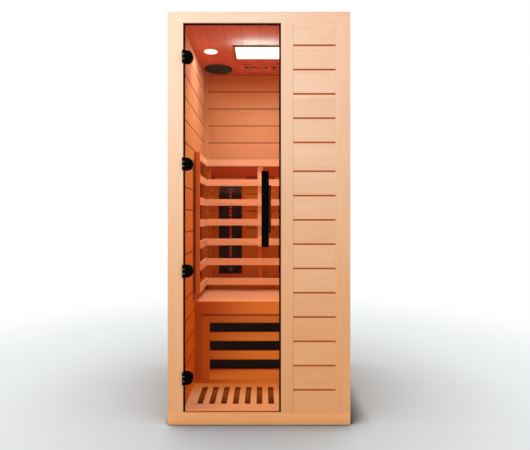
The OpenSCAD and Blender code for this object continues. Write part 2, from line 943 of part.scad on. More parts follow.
tray_back_w = heater_w * 0.6;
tube_y = tray_t / 3;
holder_w = 22;
holder_h = 16;
tube_inset = 14;

// Section of the folded reflector, x across and y into the wall
module tray_section(grow) {
    polygon([[-heater_w / 2 + grow, -surround_t + guard_t], [heater_w / 2 - grow,
        -surround_t + guard_t], [heater_w / 2 - grow, 2], [tray_back_w / 2 - grow,
        tray_t - grow], [-tray_back_w / 2 + grow, tray_t - grow],
        [-heater_w / 2 + grow, 2]]);
}

module heater_tray() {
    difference() {
        linear_extrude(heater_h) tray_section(0);
        translate([0, 0, sheet_t]) linear_extrude(heater_h - 2 * sheet_t) {
            tray_section(sheet_t);
            translate([-heater_w / 2 + sheet_t, -surround_t]) square([heater_w - 2 * sheet_t,
                surround_t]);
        }
    }
}

module heater_trays() {
    color(GRAPHITE) at_heaters() heater_tray();
}

module heater_tubes() {
    color("#c43a22") at_heaters() translate([0, tube_y, tube_inset])
        cylinder(r = tube_r, h = heater_h - 2 * tube_inset);
}

module tube_holders() {
    color(WHITE) at_heaters() for (z = [tube_inset + 2,
            heater_h - tube_inset - holder_h - 2])
        difference() {
            box([-holder_w / 2, tube_y - tube_r - 3, z],
                [holder_w / 2, tray_t - sheet_t, z + holder_h]);
            translate([0, tube_y, z - 1]) cylinder(r = tube_r + run, h = holder_h + 2);
        }
}

// One diamond between crossing bars, drawn at the origin
module mesh_hole() {
    a = mesh_pitch - mesh_bar * 1.2;
    b = 1.6 * mesh_pitch - mesh_bar * 1.9;
    polygon([[a / 2, 0], [0, b / 2], [-a / 2, 0], [0, -b / 2]]);
}

// Flat guard: a plate cut into crossing diagonal bars inside a plain rim
module heater_guard() {
    rim = 5;
    row = 0.8 * mesh_pitch;
    rows = floor((heater_h - 2 * rim - 1.6 * mesh_pitch) / row);
    cols = floor((heater_w - 2 * rim - mesh_pitch) / mesh_pitch);
    slab_y(-surround_t, guard_t - surround_t) translate([0, heater_h / 2])
        difference() {
            square([heater_w, heater_h], center = true);
            for (j = [0 : rows]) {
                n = j % 2 == 0 ? cols : cols - 1;
                for (i = [0 : n])
                    translate([(i - n / 2) * mesh_pitch, (j - rows / 2) * row])
                        mesh_hole();
            }
        }
}

module heater_guards() {
    color(BLACK) at_heaters() heater_guard();
}

module heater_surrounds() {
    w = heater_w / 2;
    color(PINE_DARK) at_heaters() {
        for (s = [-1, 1])
            translate([s * (w + surround_w / 2), 0, 0])
                box([-surround_w / 2, -surround_t, -surround_w],
                    [surround_w / 2, 0, heater_h + surround_head]);
        box([joint - w, -surround_t, -surround_w], [w - joint, 0, 0]);
        box([joint - w, -surround_t, heater_h], [w - joint, 0, heater_h + surround_head]);
    }
}

// ---------------------------------------------------------------- door

module door_glass() {
    color(GLASS) difference() {
        at_d(0) box([glass_left, 0, glass_low], [glass_right, glass_t, glass_high]);
        at_hinges() clamp_screw_places()
            rod_y(clamp_screw_r + 1.5, pin_proud - 1, pin_proud + glass_t + 1);
        at_handle_bolts() rod_y(bolt_r + 1, -1, glass_t + 1);
    }
}

module clamp_screw_places() {
    for (s = [-1, 1])
        translate([clamp_screw_x, 0, s * clamp_screw_z]) children();
}

// Outline of a clamp plate: straight at the pin, round at the far end
module clamp_outline() {
    r = hinge_h / 2;
    translate([plate_x, -r]) square([hinge_reach - r - plate_x, hinge_h]);
    intersection() {
        translate([hinge_reach - r, 0]) circle(r);
        translate([plate_x, -r]) square([hinge_reach, hinge_h]);
    }
}

outer_y0 = pin_proud - gasket_t - clamp_t;
outer_y1 = pin_proud - gasket_t;
inner_y0 = pin_proud + glass_t + gasket_t;
inner_y1 = inner_y0 + clamp_t;
knuckle_z = knuckle_h / 2 + washer_t;
knuckle_end = hinge_h / 2 - 0.5;

module hinge_outer_plate() {
    difference() {
        union() {
            slab_y(outer_y0, outer_y1) clamp_outline();
            for (z = [-knuckle_end, knuckle_z]) translate([0, 0, z]) {
                cylinder(r = knuckle_r, h = knuckle_end - knuckle_z);
                box([0, outer_y0, 0], [plate_x + 1, outer_y1, knuckle_end - knuckle_z]);
            }
        }
        translate([0, 0, -hinge_h]) cylinder(r = pin_r + run, h = 2 * hinge_h);
        clamp_screw_places() rod_y(clamp_screw_r + run, outer_y1 - 4, outer_y1 + 1);
    }
}

module hinge_outer_plates() {
    color(BLACK) at_hinges() hinge_outer_plate();
}

module hinge_inner_plates() {
    color(BLACK) at_hinges() difference() {
        slab_y(inner_y0, inner_y1) clamp_outline();
        clamp_screw_places() {
            rod_y(clamp_screw_r + run, inner_y0 - 1, inner_y1 + 1);
            rod_y(2 * clamp_screw_r, inner_y1 - 3, inner_y1 + 1);
        }
    }
}

module hinge_gaskets() {
    color(RUBBER) at_hinges() difference() {
        union() {
            slab_y(outer_y1, pin_proud) clamp_outline();
            slab_y(pin_proud + glass_t, inner_y0) clamp_outline();
        }
        clamp_screw_places() rod_y(clamp_screw_r + 0.5, 0, inner_y1);
    }
}

module hinge_clamp_screws() {
    color(GRAPHITE) at_hinges() clamp_screw_places() difference() {
        union() {
            rod_y(clamp_screw_r, outer_y1 - 3.5, inner_y1 - 2.5);
            rod_y(2 * clamp_screw_r - fit, inner_y1 - 3 + run, inner_y1);
        }
        slab_y(inner_y1 - 2, inner_y1 + 1) circle(r = 1.6, $fn = 6);
    }
}

module leaf_screw_places() {
    for (p = leaf_screws)
        translate([-pin_in, pin_proud + p[0] * leaf_depth, p[1] * leaf_h]) children();
}

module countersink(grow) {
    head_t = leaf_t - 0.6;
    translate([-head_t, 0, 0]) rotate([0, 90, 0])
        cylinder(r1 = leaf_screw_r + grow, r2 = leaf_screw_r + head_t + grow, h = head_t);
}

module hinge_leaves() {
    x1 = -pin_in;
    x0 = x1 - leaf_t;
    color(BLACK) at_hinges() difference() {
        union() {
            box([x0, pin_proud, -leaf_h / 2], [x1, pin_proud + leaf_depth, leaf_h / 2]);
            box([x0, 0, -knuckle_h / 2], [x1, pin_proud + 1, knuckle_h / 2]);
            cylinder(r = knuckle_r, h = knuckle_h, center = true);
        }
        cylinder(r = pin_r + run, h = 2 * knuckle_h, center = true);
        leaf_screw_places() {
            countersink(run);
            rod_x(leaf_screw_r + run, -leaf_t - 1, 0);
        }
    }
}

module hinge_leaf_screws() {
    color(GRAPHITE) at_hinges() leaf_screw_places() {
        countersink(0);
        rod_x(leaf_screw_r, -leaf_screw_l, -1);
    }
}

module hinge_pins() {
    color(STEEL) at_hinges() translate([0, 0, -knuckle_end])
        cylinder(r = pin_r, h = 2 * knuckle_end);
}

module hinge_washers() {
    color(STEEL) at_hinges() both_ends() translate([0, 0, knuckle_h / 2 + run])
        difference() {
            cylinder(r = knuckle_r - 0.3, h = washer_t - 2 * run);
            translate([0, 0, -1]) cylinder(r = pin_r + run, h = washer_t + 2);
        }
}

module both_ends() {
    children();
    mirror([0, 0, 1]) children();
}

// Upright bar with soft edges, screwed to the standoffs
module bar(x, h, y0, y1) {
    translate([x, front_y + (y0 + y1) / 2, handle_z - h / 2]) linear_extrude(h)
        round_rect(handle_w, y1 - y0, 2.5);
}

module handle_bolt_void() {
    at_handle_bolts() rod_y(bolt_r + run, -handle_reach - 7, glass_t + handle_reach + 7);
}

module handle_bar() {
    color(BLACK) difference() {
        bar(handle_x, handle_h, -handle_reach - handle_t, -handle_reach);
        handle_bolt_void();
    }
}

module handle_grip() {
    y0 = glass_t + handle_reach;
    color(PINE_DARK) difference() {
        bar(grip_x, grip_h, y0, y0 + handle_t);
        handle_bolt_void();
    }
}

module handle_standoffs() {
    color(BLACK) at_handle_bolts() {
        rod_y(standoff_r, -handle_reach, 0);
        rod_y(standoff_r, glass_t, glass_t + handle_reach);
        rod_y(bolt_r, -handle_reach - 6, glass_t + handle_reach + 6);
    }
}

// Seal strip: a flange along the jamb and a lip behind the edge of the glass
module seal_section() {
    y0 = glass_t + slack;
    translate([0, y0]) square([seal_t, seal_depth]);
    translate([0, y0]) square([seal_w - 1.5, 3]);
    translate([seal_w - 1.5, y0 + 1.5]) circle(1.5);
}

module door_seal() {
    top = header_z - seal_w;
    gaps = [handle_z - magnet_h / 2, handle_z + magnet_h / 2];
    color(RUBBER) at_d(0) {
        translate([open_left, 0, bottom_rail_h]) linear_extrude(top - bottom_rail_h)
            seal_section();
        for (span = [[bottom_rail_h, gaps[0]], [gaps[1], top]])
            translate([open_right, 0, span[0]]) mirror([1, 0, 0])
                linear_extrude(span[1] - span[0]) seal_section();
        translate([open_left, 0, header_z]) rotate([0, 90, 0])
            linear_extrude(door_open_w) seal_section();
    }
}

module door_magnet() {
    color(BLACK) at_d(glass_t + 2) box([open_right - seal_w, 0, handle_z - magnet_h / 2],
        [open_right, 6, handle_z + magnet_h / 2]);
}

module strike_plate() {
    color(STEEL) at_d(glass_t) box([glass_right - seal_w / 2 - 1, 0,
        handle_z - magnet_h / 2], [glass_right - slack, 1.5, handle_z + magnet_h / 2]);
}

// ---------------------------------------------------------------- ceiling fittings

downlight_can_r = downlight_r - 8;
speaker_can_r = speaker_r - 10;
light_t = 9;

module light_panel_frame() {
    bezel = 8;
    color(WHITE) at_d(panel_light_d) translate([0, 0, ceiling_z - light_t]) difference() {
        linear_extrude(light_t) round_rect(panel_light_w, panel_light_h, 4);
        translate([0, 0, -1]) linear_extrude(light_t - 2)
            square([panel_light_w - 2 * bezel, panel_light_h - 2 * bezel], center = true);
    }
}

lens_r = downlight_r - downlight_rim;

// A rim with the lens let into it, on a can that goes up through the ceiling
module downlights() {
    color(WHITE) at_d(downlight_d) both_sides() translate([downlight_x, 0, ceiling_z])
        difference() {
            union() {
                translate([0, 0, -4]) cylinder(r1 = downlight_r - 1, r2 = downlight_r, h = 4);
                translate([0, 0, -1]) cylinder(r = downlight_can_r, h = 17);
            }
            translate([0, 0, -5]) cylinder(r = lens_r, h = 3.5);
            translate([0, 0, -2]) cylinder(r = downlight_can_r - 4, h = 12);
        }
}

module light_diffusers() {
    bezel = 8;
    color("#fffdf2") {
        at_d(panel_light_d) translate([0, 0, ceiling_z - light_t + 1])
            linear_extrude(light_t - 4)
                square([panel_light_w - 2 * bezel - fit, panel_light_h - 2 * bezel - fit],
                    center = true);
        at_d(downlight_d) both_sides() translate([downlight_x, 0, ceiling_z - 3.5])
            cylinder(r = lens_r - run, h = 2);
    }
}

// Round grille with rings of holes, and the driver behind it
module speakers() {
    grille_t = 3;
    hole_step = (speaker_r - 10) / 5.5;
    color(BLACK) at_d(speaker_d) both_sides() translate([speaker_x, 0, ceiling_z]) {
        translate([0, 0, -grille_t]) difference() {
            cylinder(r1 = speaker_r - 2, r2 = speaker_r, h = grille_t);
            for (ring = [1 : 5], i = [0 : 6 * ring - 1])
                rotate([0, 0, i * 60 / ring]) translate([ring * hole_step, 0, -1])
                    cylinder(r = hole_step / 3, h = grille_t + 2);
        }
        translate([0, 0, joint]) cylinder(r = speaker_can_r, h = 8);
        translate([0, 0, 7]) cylinder(r = speaker_can_r * 0.55, h = 15);
    }
}

// Cover with slots, a pocket for the shutter above them and a slit for its knob
module vent_cover() {
    pocket = shutter_t + 4 * run;
    half = vent_slots[3] + vent_slot_w / 2;
    color(PINE) at_d(vent_d) translate([0, 0, ceiling_z - vent_t]) difference() {
        linear_extrude(vent_t) round_rect(vent_w, vent_l, 4);
        for (x = vent_slots)
            translate([x, 0, -1]) linear_extrude(vent_t + 2)
                square([vent_slot_w, vent_slot_l], center = true);
        translate([0, 0, vent_t - pocket]) linear_extrude(pocket + 1)
            translate([-half - shutter_lap - 1, -vent_slot_l / 2 - shutter_edge - 1])
                square([2 * (half + shutter_lap + 1) + vent_pitch / 2,
                    vent_slot_l + 2 * shutter_edge + 2]);
        translate([-4 - vent_slot_w / 4, 0, -1]) linear_extrude(vent_t)
            translate([0, -4]) square([8 + vent_pitch / 2, 8]);
    }
}

module vent_shutter() {
    half = vent_slots[3] + vent_slot_w / 2 + shutter_lap;
    knob_x = -vent_slot_w / 4;
    color(PINE_DARK) at_d(vent_d) translate([0, 0, ceiling_z - shutter_t - 2 * run]) {
        difference() {
            linear_extrude(shutter_t)
                square([2 * half, vent_slot_l + 2 * shutter_edge], center = true);
            for (x = vent_slots)
                translate([x, 0, -1]) linear_extrude(shutter_t + 2)
                    square([vent_slot_w, vent_slot_l], center = true);
        }
        translate([knob_x, 0, -vent_t + shutter_t - knob_drop]) {
            translate([0, 0, 1]) cylinder(r = knob_r / 3, h = vent_t + knob_drop - shutter_t);
            cylinder(r = knob_r, h = knob_h);
        }
    }
}

base_board();
floor_boards();
floor_grate();
wall_frames();
wall_insulation();
left_outer_boards();
right_outer_boards();
back_outer_boards();
outer_trim_boards();
left_inner_boards();
right_inner_boards();
back_inner_boards();
inner_corner_trims();
front_stiles();
front_header();
front_bottom_rail();
front_outer_boards();
front_inner_boards();
roof_frame();
ceiling_boards();
roof_top_board();
control_box();
control_box_lid();
power_inlet();
bench_top_boards();
bench_nosing();
bench_supports();
kick_panel();
kick_panel_screws();
plinth();
calf_heater();
back_screen();
side_screens();
heater_trays();
heater_tubes();
tube_holders();
heater_guards();
heater_surrounds();
door_glass();
hinge_outer_plates();
hinge_inner_plates();
hinge_gaskets();
hinge_leaves();
hinge_pins();
hinge_washers();
hinge_clamp_screws();
hinge_leaf_screws();
handle_bar();
handle_grip();
handle_standoffs();
door_seal();
door_magnet();
strike_plate();
light_panel_frame();
downlights();
light_diffusers();
speakers();
vent_cover();
vent_shutter();
control_panel();
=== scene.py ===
import math

import bmesh
import bpy
from mathutils import Matrix, Vector


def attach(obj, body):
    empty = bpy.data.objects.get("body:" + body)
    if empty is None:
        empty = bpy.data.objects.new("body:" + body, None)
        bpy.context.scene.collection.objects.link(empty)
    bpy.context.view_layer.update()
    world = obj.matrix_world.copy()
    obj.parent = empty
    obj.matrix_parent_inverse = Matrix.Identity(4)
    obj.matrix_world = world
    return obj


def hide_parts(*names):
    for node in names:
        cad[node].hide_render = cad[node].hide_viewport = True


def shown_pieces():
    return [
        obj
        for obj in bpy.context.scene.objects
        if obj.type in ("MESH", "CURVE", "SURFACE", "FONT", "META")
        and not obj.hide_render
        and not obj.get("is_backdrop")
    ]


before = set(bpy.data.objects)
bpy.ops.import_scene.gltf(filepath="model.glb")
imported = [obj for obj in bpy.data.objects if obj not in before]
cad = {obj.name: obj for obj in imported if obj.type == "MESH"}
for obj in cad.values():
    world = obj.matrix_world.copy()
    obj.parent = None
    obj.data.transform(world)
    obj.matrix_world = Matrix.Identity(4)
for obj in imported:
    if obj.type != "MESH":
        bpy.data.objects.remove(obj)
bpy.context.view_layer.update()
scene = bpy.context.scene

# Places taken from the cabin's own sizes, in metres. Walls, roof and front:
HALF_WIDTH = 0.440
HALF_DEPTH = 0.450
BACK_WALL = 0.390
SIDE_WALL = 0.380
FRONT_WALL = 0.404
CEILING = 1.962
HEADER_FOOT = 1.937
SILL_TOP = 0.059
SILL_END = 0.40
GLASS_BACK = -0.4415
PANEL_LEFT = 0.165
PANEL_RIGHT = 0.369
CORNER_MIDDLE = 0.998
CORNER_REACH = 0.939
OUTER_FOOT = 0.168
OUTER_PITCH = 0.117
WIDE_BOARD_TOP = 1.290
INNER_PITCH = 0.1155
CEILING_PITCH = 0.0935
# Floor, bench and kick panel:
FLOOR_PITCH = 0.105
GRATE_TOP = 0.0288
BENCH_START = 0.025
BENCH_PITCH = 0.0733
BENCH_JOINTS = 0.073
BENCH_FRONT_FOOT = 0.430
KICK_INNER = 0.2945
KICK_OUTER = 0.340
# Back and side screens:
SCREEN_FRONT = -0.0245
SCREEN_TOP = 1.345
SCREEN_FADE = 0.040
TOP_RAIL_FOOT = 1.32
RAIL_BACK = 0.32505
REAR_POST_FRONT = 0.345
POST_BACK = 0.002
POST_SIDE = 0.374
# Heaters and their guards:
HEATER_FOOT = 0.613
HEATER_HIGH = 0.595
HEATER_WIDE = 0.158
HEATER_X = 0.203
HEATER_SIDE_Y = 0.110
TUBE_MIDDLE = 0.943
GUARD_PROUD = 0.010
GUARD_THICK = 0.002
GUARD_EDGE = 0.005
GUARD_RIM = 0.006
WIRE_THICK = 0.0030
MESH_PITCH = 0.0155
MESH_CELLS = 64
MESH_STRETCH = 1.35
# Lights:
LIGHT_PANEL_Y = -0.018
ROUND_LIGHT_X = 0.284
ROUND_LIGHT_Y = -0.029


# ---------------------------------------------------------------- camera

def stand_camera():
    """The camera stands square to the front, a little to the right of the middle."""
    lens = bpy.data.cameras.new("camera")
    lens.sensor_width = 36.0
    lens.lens = 28.807
    lens.shift_x = 0.0028
    lens.shift_y = -0.0189
    stand = bpy.data.objects.new("camera", lens)
    stand.location = (0.0217, -2.493, 1.0106)
    stand.rotation_euler = (math.radians(90), 0, 0)
    scene.collection.objects.link(stand)
    scene.camera = stand


# ---------------------------------------------------------------- finishes

def tone(red, green, blue):
    """A display colour of 0 to 255 as the light it stands for."""
    def linear(level):
        level /= 255
        return level / 12.92 if level <= 0.04045 else ((level + 0.055) / 1.055) ** 2.4
    return (linear(red), linear(green), linear(blue), 1.0)


BLACK = tone(0, 0, 0)
WHITE = (1.0, 1.0, 1.0, 1.0)


class Amount:
    """One socket of a finish. Sums and products of amounts add their Math nodes."""

    def __init__(self, finish, socket):
        self.finish = finish
        self.socket = socket

    def maths(self, operation, *amounts):
        inputs = dict(enumerate(amounts))
        return self.finish.node("ShaderNodeMath", {"operation": operation}, inputs)

    def __add__(self, other):
        return self.maths("ADD", self, other)

    __radd__ = __add__

    def __sub__(self, other):
        return self.maths("SUBTRACT", self, other)

    def __rsub__(self, other):
        return self.maths("SUBTRACT", other, self)

    def __mul__(self, other):
        return self.maths("MULTIPLY", self, other)

    __rmul__ = __mul__

    def __truediv__(self, other):
        return self.maths("DIVIDE", self, other)

    def __gt__(self, other):
        return self.maths("GREATER_THAN", self, other)

    def __lt__(self, other):
        return self.maths("LESS_THAN", self, other)

    def __abs__(self):
        return self.maths("ABSOLUTE", self)

    def floor(self):
        return self.maths("FLOOR", self)

    def sine(self):
        return self.maths("SINE", self)

    def power(self, exponent):
        return self.maths("POWER", self, exponent)

    def between(self, low, high, first=0.0, last=1.0):
        """Runs smoothly from first to last as this amount runs from low to high."""
        return self.finish.node(
            "ShaderNodeMapRange",
            {"interpolation_type": "SMOOTHSTEP"},
            {0: self, 1: low, 2: high, 3: first, 4: last},
        )


class Finish:
    """A material and the nodes that make it."""

    def __init__(self, name):
        self.material = bpy.data.materials.new(name)
        self.material.use_nodes = True
        self.tree = self.material.node_tree
        self.tree.nodes.clear()
        self.place = self.node("ShaderNodeTexCoord", output="Object")

    def node(self, kind, settings=None, inputs=None, output=0):
        """Adds a node with its settings and the values or links of its sockets."""
        made = self.tree.nodes.new(kind)
        for name, setting in (settings or {}).items():
            setattr(made, name, setting)
        for key, value in (inputs or {}).items():
            if isinstance(value, Amount):
                self.tree.links.new(value.socket, made.inputs[key])
            else:
                made.inputs[key].default_value = value
        return Amount(self, made.outputs[output])

    def axes(self, vector=None):
        """The three parts of a vector, or of the place on the piece."""
        first = self.node("ShaderNodeSeparateXYZ", inputs={0: vector or self.place})
        outputs = first.socket.node.outputs
        return [Amount(self, outputs[i]) for i in range(3)]

    def outward(self, axis):
        """How far the surface looks along that axis, from -1 to 1."""
        return self.axes(self.node("ShaderNodeNewGeometry", output="True Normal"))[axis]

    def vector(self, x, y, z):
        return self.node("ShaderNodeCombineXYZ", inputs={0: x, 1: y, 2: z})

    def moved(self, vector, by):
        return self.node("ShaderNodeVectorMath", {"operation": "ADD"}, {0: vector, 1: by})

    def stretched(self, vector, by):
        return self.node("ShaderNodeVectorMath", {"operation": "MULTIPLY"}, {0: vector, 1: by})

    def noise(self, vector, scale, detail=2.0, rough=0.5):
        inputs = {"Vector": vector, "Scale": scale, "Detail": detail, "Roughness": rough}
        return self.node("ShaderNodeTexNoise", None, inputs)

    def cells(self, vector, scale, feature="F1"):
        inputs = {"Vector": vector, "Scale": scale}
        return self.node("ShaderNodeTexVoronoi", {"feature": feature}, inputs)

    def chance(self, number):
        """A fixed share of 0 to 1 for each number."""
        return self.node("ShaderNodeTexWhiteNoise", {"noise_dimensions": "1D"}, {"W": number})

    def either(self, share, first, second):
        """A mix of two places."""
        return self.node(
            "ShaderNodeMix", {"data_type": "VECTOR"}, {0: share, 4: first, 5: second}, output=1
        )

    def blend(self, share, first, second, how="MIX"):
        """A mix of two colours."""
        settings = {"data_type": "RGBA", "blend_type": how}
        return self.node("ShaderNodeMix", settings, {0: share, 6: first, 7: second}, output=2)

    def raised(self, height, depth, strength):
        inputs = {"Height": height, "Distance": depth, "Strength": strength}
        return self.node("ShaderNodeBump", None, inputs)

    def open_sky(self, reach, **inputs):
        """The share of the sky that nothing within that reach hides."""
        inputs["Distance"] = reach
        return self.node("ShaderNodeAmbientOcclusion", {"samples": 8}, inputs, "AO")

    def edges(self, radius):
        """1 where the surface turns within that radius, as at an arris, and 0 on the flat."""
        eased = self.node("ShaderNodeBevel", {"samples": 4}, {"Radius": radius})
        flat = self.node("ShaderNodeNewGeometry", output="True Normal")
        settings = {"operation": "DOT_PRODUCT"}
        along = self.node("ShaderNodeVectorMath", settings, {0: eased, 1: flat}, "Value")
        return along.between(0.80, 0.995, 1.0, 0.0)

    def surface(self, **inputs):
        named = {key.replace("_", " "): value for key, value in inputs.items()}
        self.show(self.node("ShaderNodeBsdfPrincipled", None, named))
        return self

    def show(self, shader, output="ShaderNodeOutputMaterial"):
        out = self.tree.nodes.new(output)
        self.tree.links.new(shader.socket, out.inputs["Surface"])


def dress(piece, finish):
    """Gives a piece or a node of the frame its finish."""
    if not piece.data.materials:
        piece.data.materials.append(finish.material)
    for slot in piece.material_slots:
        slot.material = finish.material


# ---------------------------------------------------------------- timber

# The figure is drawn out along the grain by this share
DRAWN = 0.07
GRAIN = {
    "X": (DRAWN, 1.0, 1.0),
    "Y": (1.0, DRAWN, 1.0),
    "Z": (1.0, 1.0, DRAWN),
    "LEVEL": (DRAWN, DRAWN, 1.0),
}
# A board's figure lies this far from the next one's
BOARD_SHIFT = (1.731, 0.37, 2.11)
# The heights between which the painted shade of the foot gives way to the tone of the top
FADE = (0.15, 2.05)
# The pale and the deep tone of each timber
OUTSIDE = (tone(254, 221, 192), tone(247, 202, 167))
# The foot tones are painted shade: darker and warmer towards the floor
OUTSIDE_FOOT_SHADE = (tone(235, 172, 119), tone(225, 155, 98))
STILE_FOOT_SHADE = (tone(241, 180, 129), tone(231, 163, 108))
SILL = (tone(255, 250, 226), tone(252, 238, 208))
INSIDE = (tone(223, 186, 143), tone(207, 164, 119))
# Painted shade low in the cabin, darker and more orange towards the floor
INSIDE_FOOT_SHADE = (tone(246, 158, 16), tone(236, 148, 12))
SEAT = (tone(254, 222, 190), tone(246, 204, 166))
FLOOR = (tone(232, 222, 196), tone(222, 204, 172))
TRIM = (tone(224, 184, 102), tone(206, 160, 84))
OVERHEAD = (tone(232, 146, 132), tone(216, 128, 112))
CEILING_BOARDS = (tone(243, 160, 148), tone(227, 142, 128))
GRIP = (tone(92, 48, 26), tone(60, 28, 14))
PLY_EDGE = (tone(214, 176, 130), tone(160, 112, 70))
# The tones of grooves, seams, painted shade lines and pores
OUTSIDE_GROOVE = tone(186, 84, 12)
INSIDE_GROOVE = tone(96, 18, 2)
CEILING_GROOVE = tone(222, 136, 119)
BENCH_GROOVE = tone(120, 66, 36)
SLOT_WALL = tone(140, 84, 24)
SEAM_AND_SHADE = tone(150, 84, 40)
PORES = tone(176, 112, 62)
# Painted shade and shadow, which darken a timber where they lie
# Painted shade on the upper right of the front and on the right-hand stiles
RIGHT_SIDE_SHADE = tone(255, 241, 235)
RIGHT_STILES_SHADE = tone(249, 243, 234)
UNDER_HEADER_SHADE = tone(242, 202, 237)
OUTER_RAIL_SHADE = tone(248, 180, 131)
HIGH_WALL_SHADE = tone(255, 230, 202)
MID_WALL_SHADE = tone(245, 236, 238)
WALL_FOOT_SHADE = tone(238, 228, 170)
DEEP_CEILING_SHADE = tone(238, 206, 192)
IN_SHADE = tone(150, 50, 10)
# Painted shade on the walls and trims behind the screens
BEHIND_SCREEN_SHADE = tone(250, 190, 0)
SHADED = tone(198, 124, 60)
CORNER_SHADE = tone(208, 160, 0)
GAP_SHADE = tone(124, 50, 0)
POST_SHADE = tone(224, 172, 90)
REAR_POST_SHADE = tone(255, 236, 140)
BATTEN_SHADE = tone(196, 128, 0)
TOP_RAIL_SHADE = tone(238, 241, 247)
# Painted shade on the heater surrounds and on the kick panel's faces that look up
RECESS_SHADE = tone(246, 170, 8)
UNDER_BENCH_SHADE = tone(242, 206, 148)
NOSING_FRONT_SHADE = tone(236, 222, 146)
NOSING_END_SHADE = tone(200, 124, 0)
KICK_CORNER_SHADE = tone(255, 250, 0)
LEFT_END_SHADE = tone(222, 172, 0)


def outer_row(x, y, z):
    """The number of an outer board from its height, with the wide board among them."""
    return ((z - OUTER_FOOT) / OUTER_PITCH).floor() + (z > WIDE_BOARD_TOP) * 3.4


def inner_row(x, y, z):
    return ((z - CEILING) / INNER_PITCH).floor()


def back_row(x, y, z):
    """The rows of the back wall, numbered apart from those of the side walls."""
    return inner_row(x, y, z) + 356.0


def ceiling_row(x, y, z):
    return (x / CEILING_PITCH).floor()


def floor_row(x, y, z):
    return (y / FLOOR_PITCH).floor()


def bench_row(x, y, z):
    return ((y - BENCH_START) / BENCH_PITCH).floor()


def stile_number(x, y, z):
    """A number of its own for the left, the middle and the right stile."""
    return (x > 0.0) * 3.1 + (x > PANEL_RIGHT - 0.01) * 4.7


def timber(name, grain, tones, foot=None, row=None, upright=None, seams_and_shade_lines=(), face=None,
           groove=None, joints=None, painted_shades=()):
    """Sawn and sanded softwood: fibre, growth rings, a slow drift in tone and one tone for
    each board. A foot tone, where given, is painted shade that darkens the timber towards the
    floor. Seams are darker lines, each given as an axis, a place on it, half the line's width
    and its depth of tone; most are joints, and one is a painted shade. Joints are such lines
    at an even pitch. Behind the face, given as an axis and its distance from the middle, lie
    the grooves between boards. Painted shades are pairs of a share, worked out from the place,
    and a tone that the timber darkens towards, standing in for shade and shadow."""
    finish = Finish(name)
    x, y, z = finish.axes()
    place = finish.place
    lot = 0.5
    if row:
        number = row(x, y, z)
        place = finish.moved(place, finish.vector(*(number * by for by in BOARD_SHIFT)))
        lot = finish.chance(number)
    along = finish.stretched(place, GRAIN[grain])
    if upright:
        along = finish.either(upright(x, y, z), along, finish.stretched(place, GRAIN["Z"]))
    drift = finish.noise(along, 6.0, 1.0)
    rings = (finish.noise(along, 5.0, 1.0, 0.4) * 95.0).sine() * 0.5 + 0.5
    fibre = finish.noise(along, 240.0, 2.0, 0.6)
    pores = finish.noise(along, 620.0, 1.0, 0.5).between(0.56, 0.74)
    share = drift * 0.60 + rings * 0.16 + fibre * 0.30 + lot * 0.26 - 0.24
    share = share.between(0.0, 1.0)
    colour = finish.blend(share, tones[0], tones[1])
    # The foot tone is painted shade, darker towards the floor
    if foot:
        low = finish.blend(share, foot[0], foot[1])
        colour = finish.blend(z.between(*FADE), low, colour)
    colour = finish.blend(pores * 0.10, colour, PORES, "MULTIPLY")
    for axis, at, half, depth in seams_and_shade_lines:
        line = abs((x, y, z)[axis] - at).between(half * 0.4, half, depth, 0.0)
        colour = finish.blend(line, colour, SEAM_AND_SHADE, "MULTIPLY")
    # Painted shade and shadow, darkening the timber where each share lies
    for share_at, stain_and_shade in painted_shades:
        colour = finish.blend(share_at(x, y, z), colour, stain_and_shade, "MULTIPLY")
    if joints:
        axis, start, pitch, half = joints
        turn = ((x, y, z)[axis] - start) / pitch + 0.5
        off = abs(turn - turn.floor() - 0.5) * pitch
        colour = finish.blend(off.between(half * 0.6, half, 0.85, 0.0), colour, groove)
    if face:
        axis, from_middle, inward = face
        depth_in = (abs((x, y, z)[axis]) - from_middle) * inward
        colour = finish.blend(depth_in.between(0.0008, 0.0022), colour, groove)
    return finish.surface(
        Base_Color=colour,
        Roughness=0.52 + fibre * 0.16 - rings * 0.04,
        Normal=finish.raised(fibre * 0.6 + rings * 0.25 - pores * 0.5, 0.0004, 0.6),
        Specular_IOR_Level=0.35,
    )


def layered_wood(name, pale, deep, film=False, stain_and_shade=None):
    """Birch ply: broad turned figure on the face and thin dark layers at the edge. A film
    face has a fine pressed net. A given tone darkens the part in front of the bench: painted
    shade in the floor slots."""
    finish = Finish(name)
    x, y, z = finish.axes()
    wide = finish.stretched(finish.place, (0.35, 1.0, 1.0))
    swirl = (finish.noise(wide, 3.0, 2.0) * 42.0).sine() * 0.5 + 0.5
    fibre = finish.noise(finish.stretched(finish.place, GRAIN["X"]), 260.0, 2.0)
    net = (x * 1200.0).sine() * (y * 1200.0).sine() * 0.5 + 0.5
    relief = net if film else fibre
    layers = (z * 3900.0).sine().between(-0.2, 0.6)
    edge = abs(finish.outward(2)).between(0.4, 0.7, 1.0, 0.0)
    face = finish.blend(swirl * 0.35 + fibre * 0.4, pale, deep)
    # Painted shade seen at the bottom of the floor slots
    if stain_and_shade:
        face = finish.blend(y.between(-0.27, -0.10, 1.0, 0.0), face, stain_and_shade, "MULTIPLY")
    cut = finish.blend(layers, *PLY_EDGE)
    return finish.surface(
        Base_Color=finish.blend(edge, face, cut),
        Roughness=0.6 + relief * 0.2,
        Normal=finish.raised(relief, 0.0003, 0.5),
    )


# ---------------------------------------------------------------- other finishes

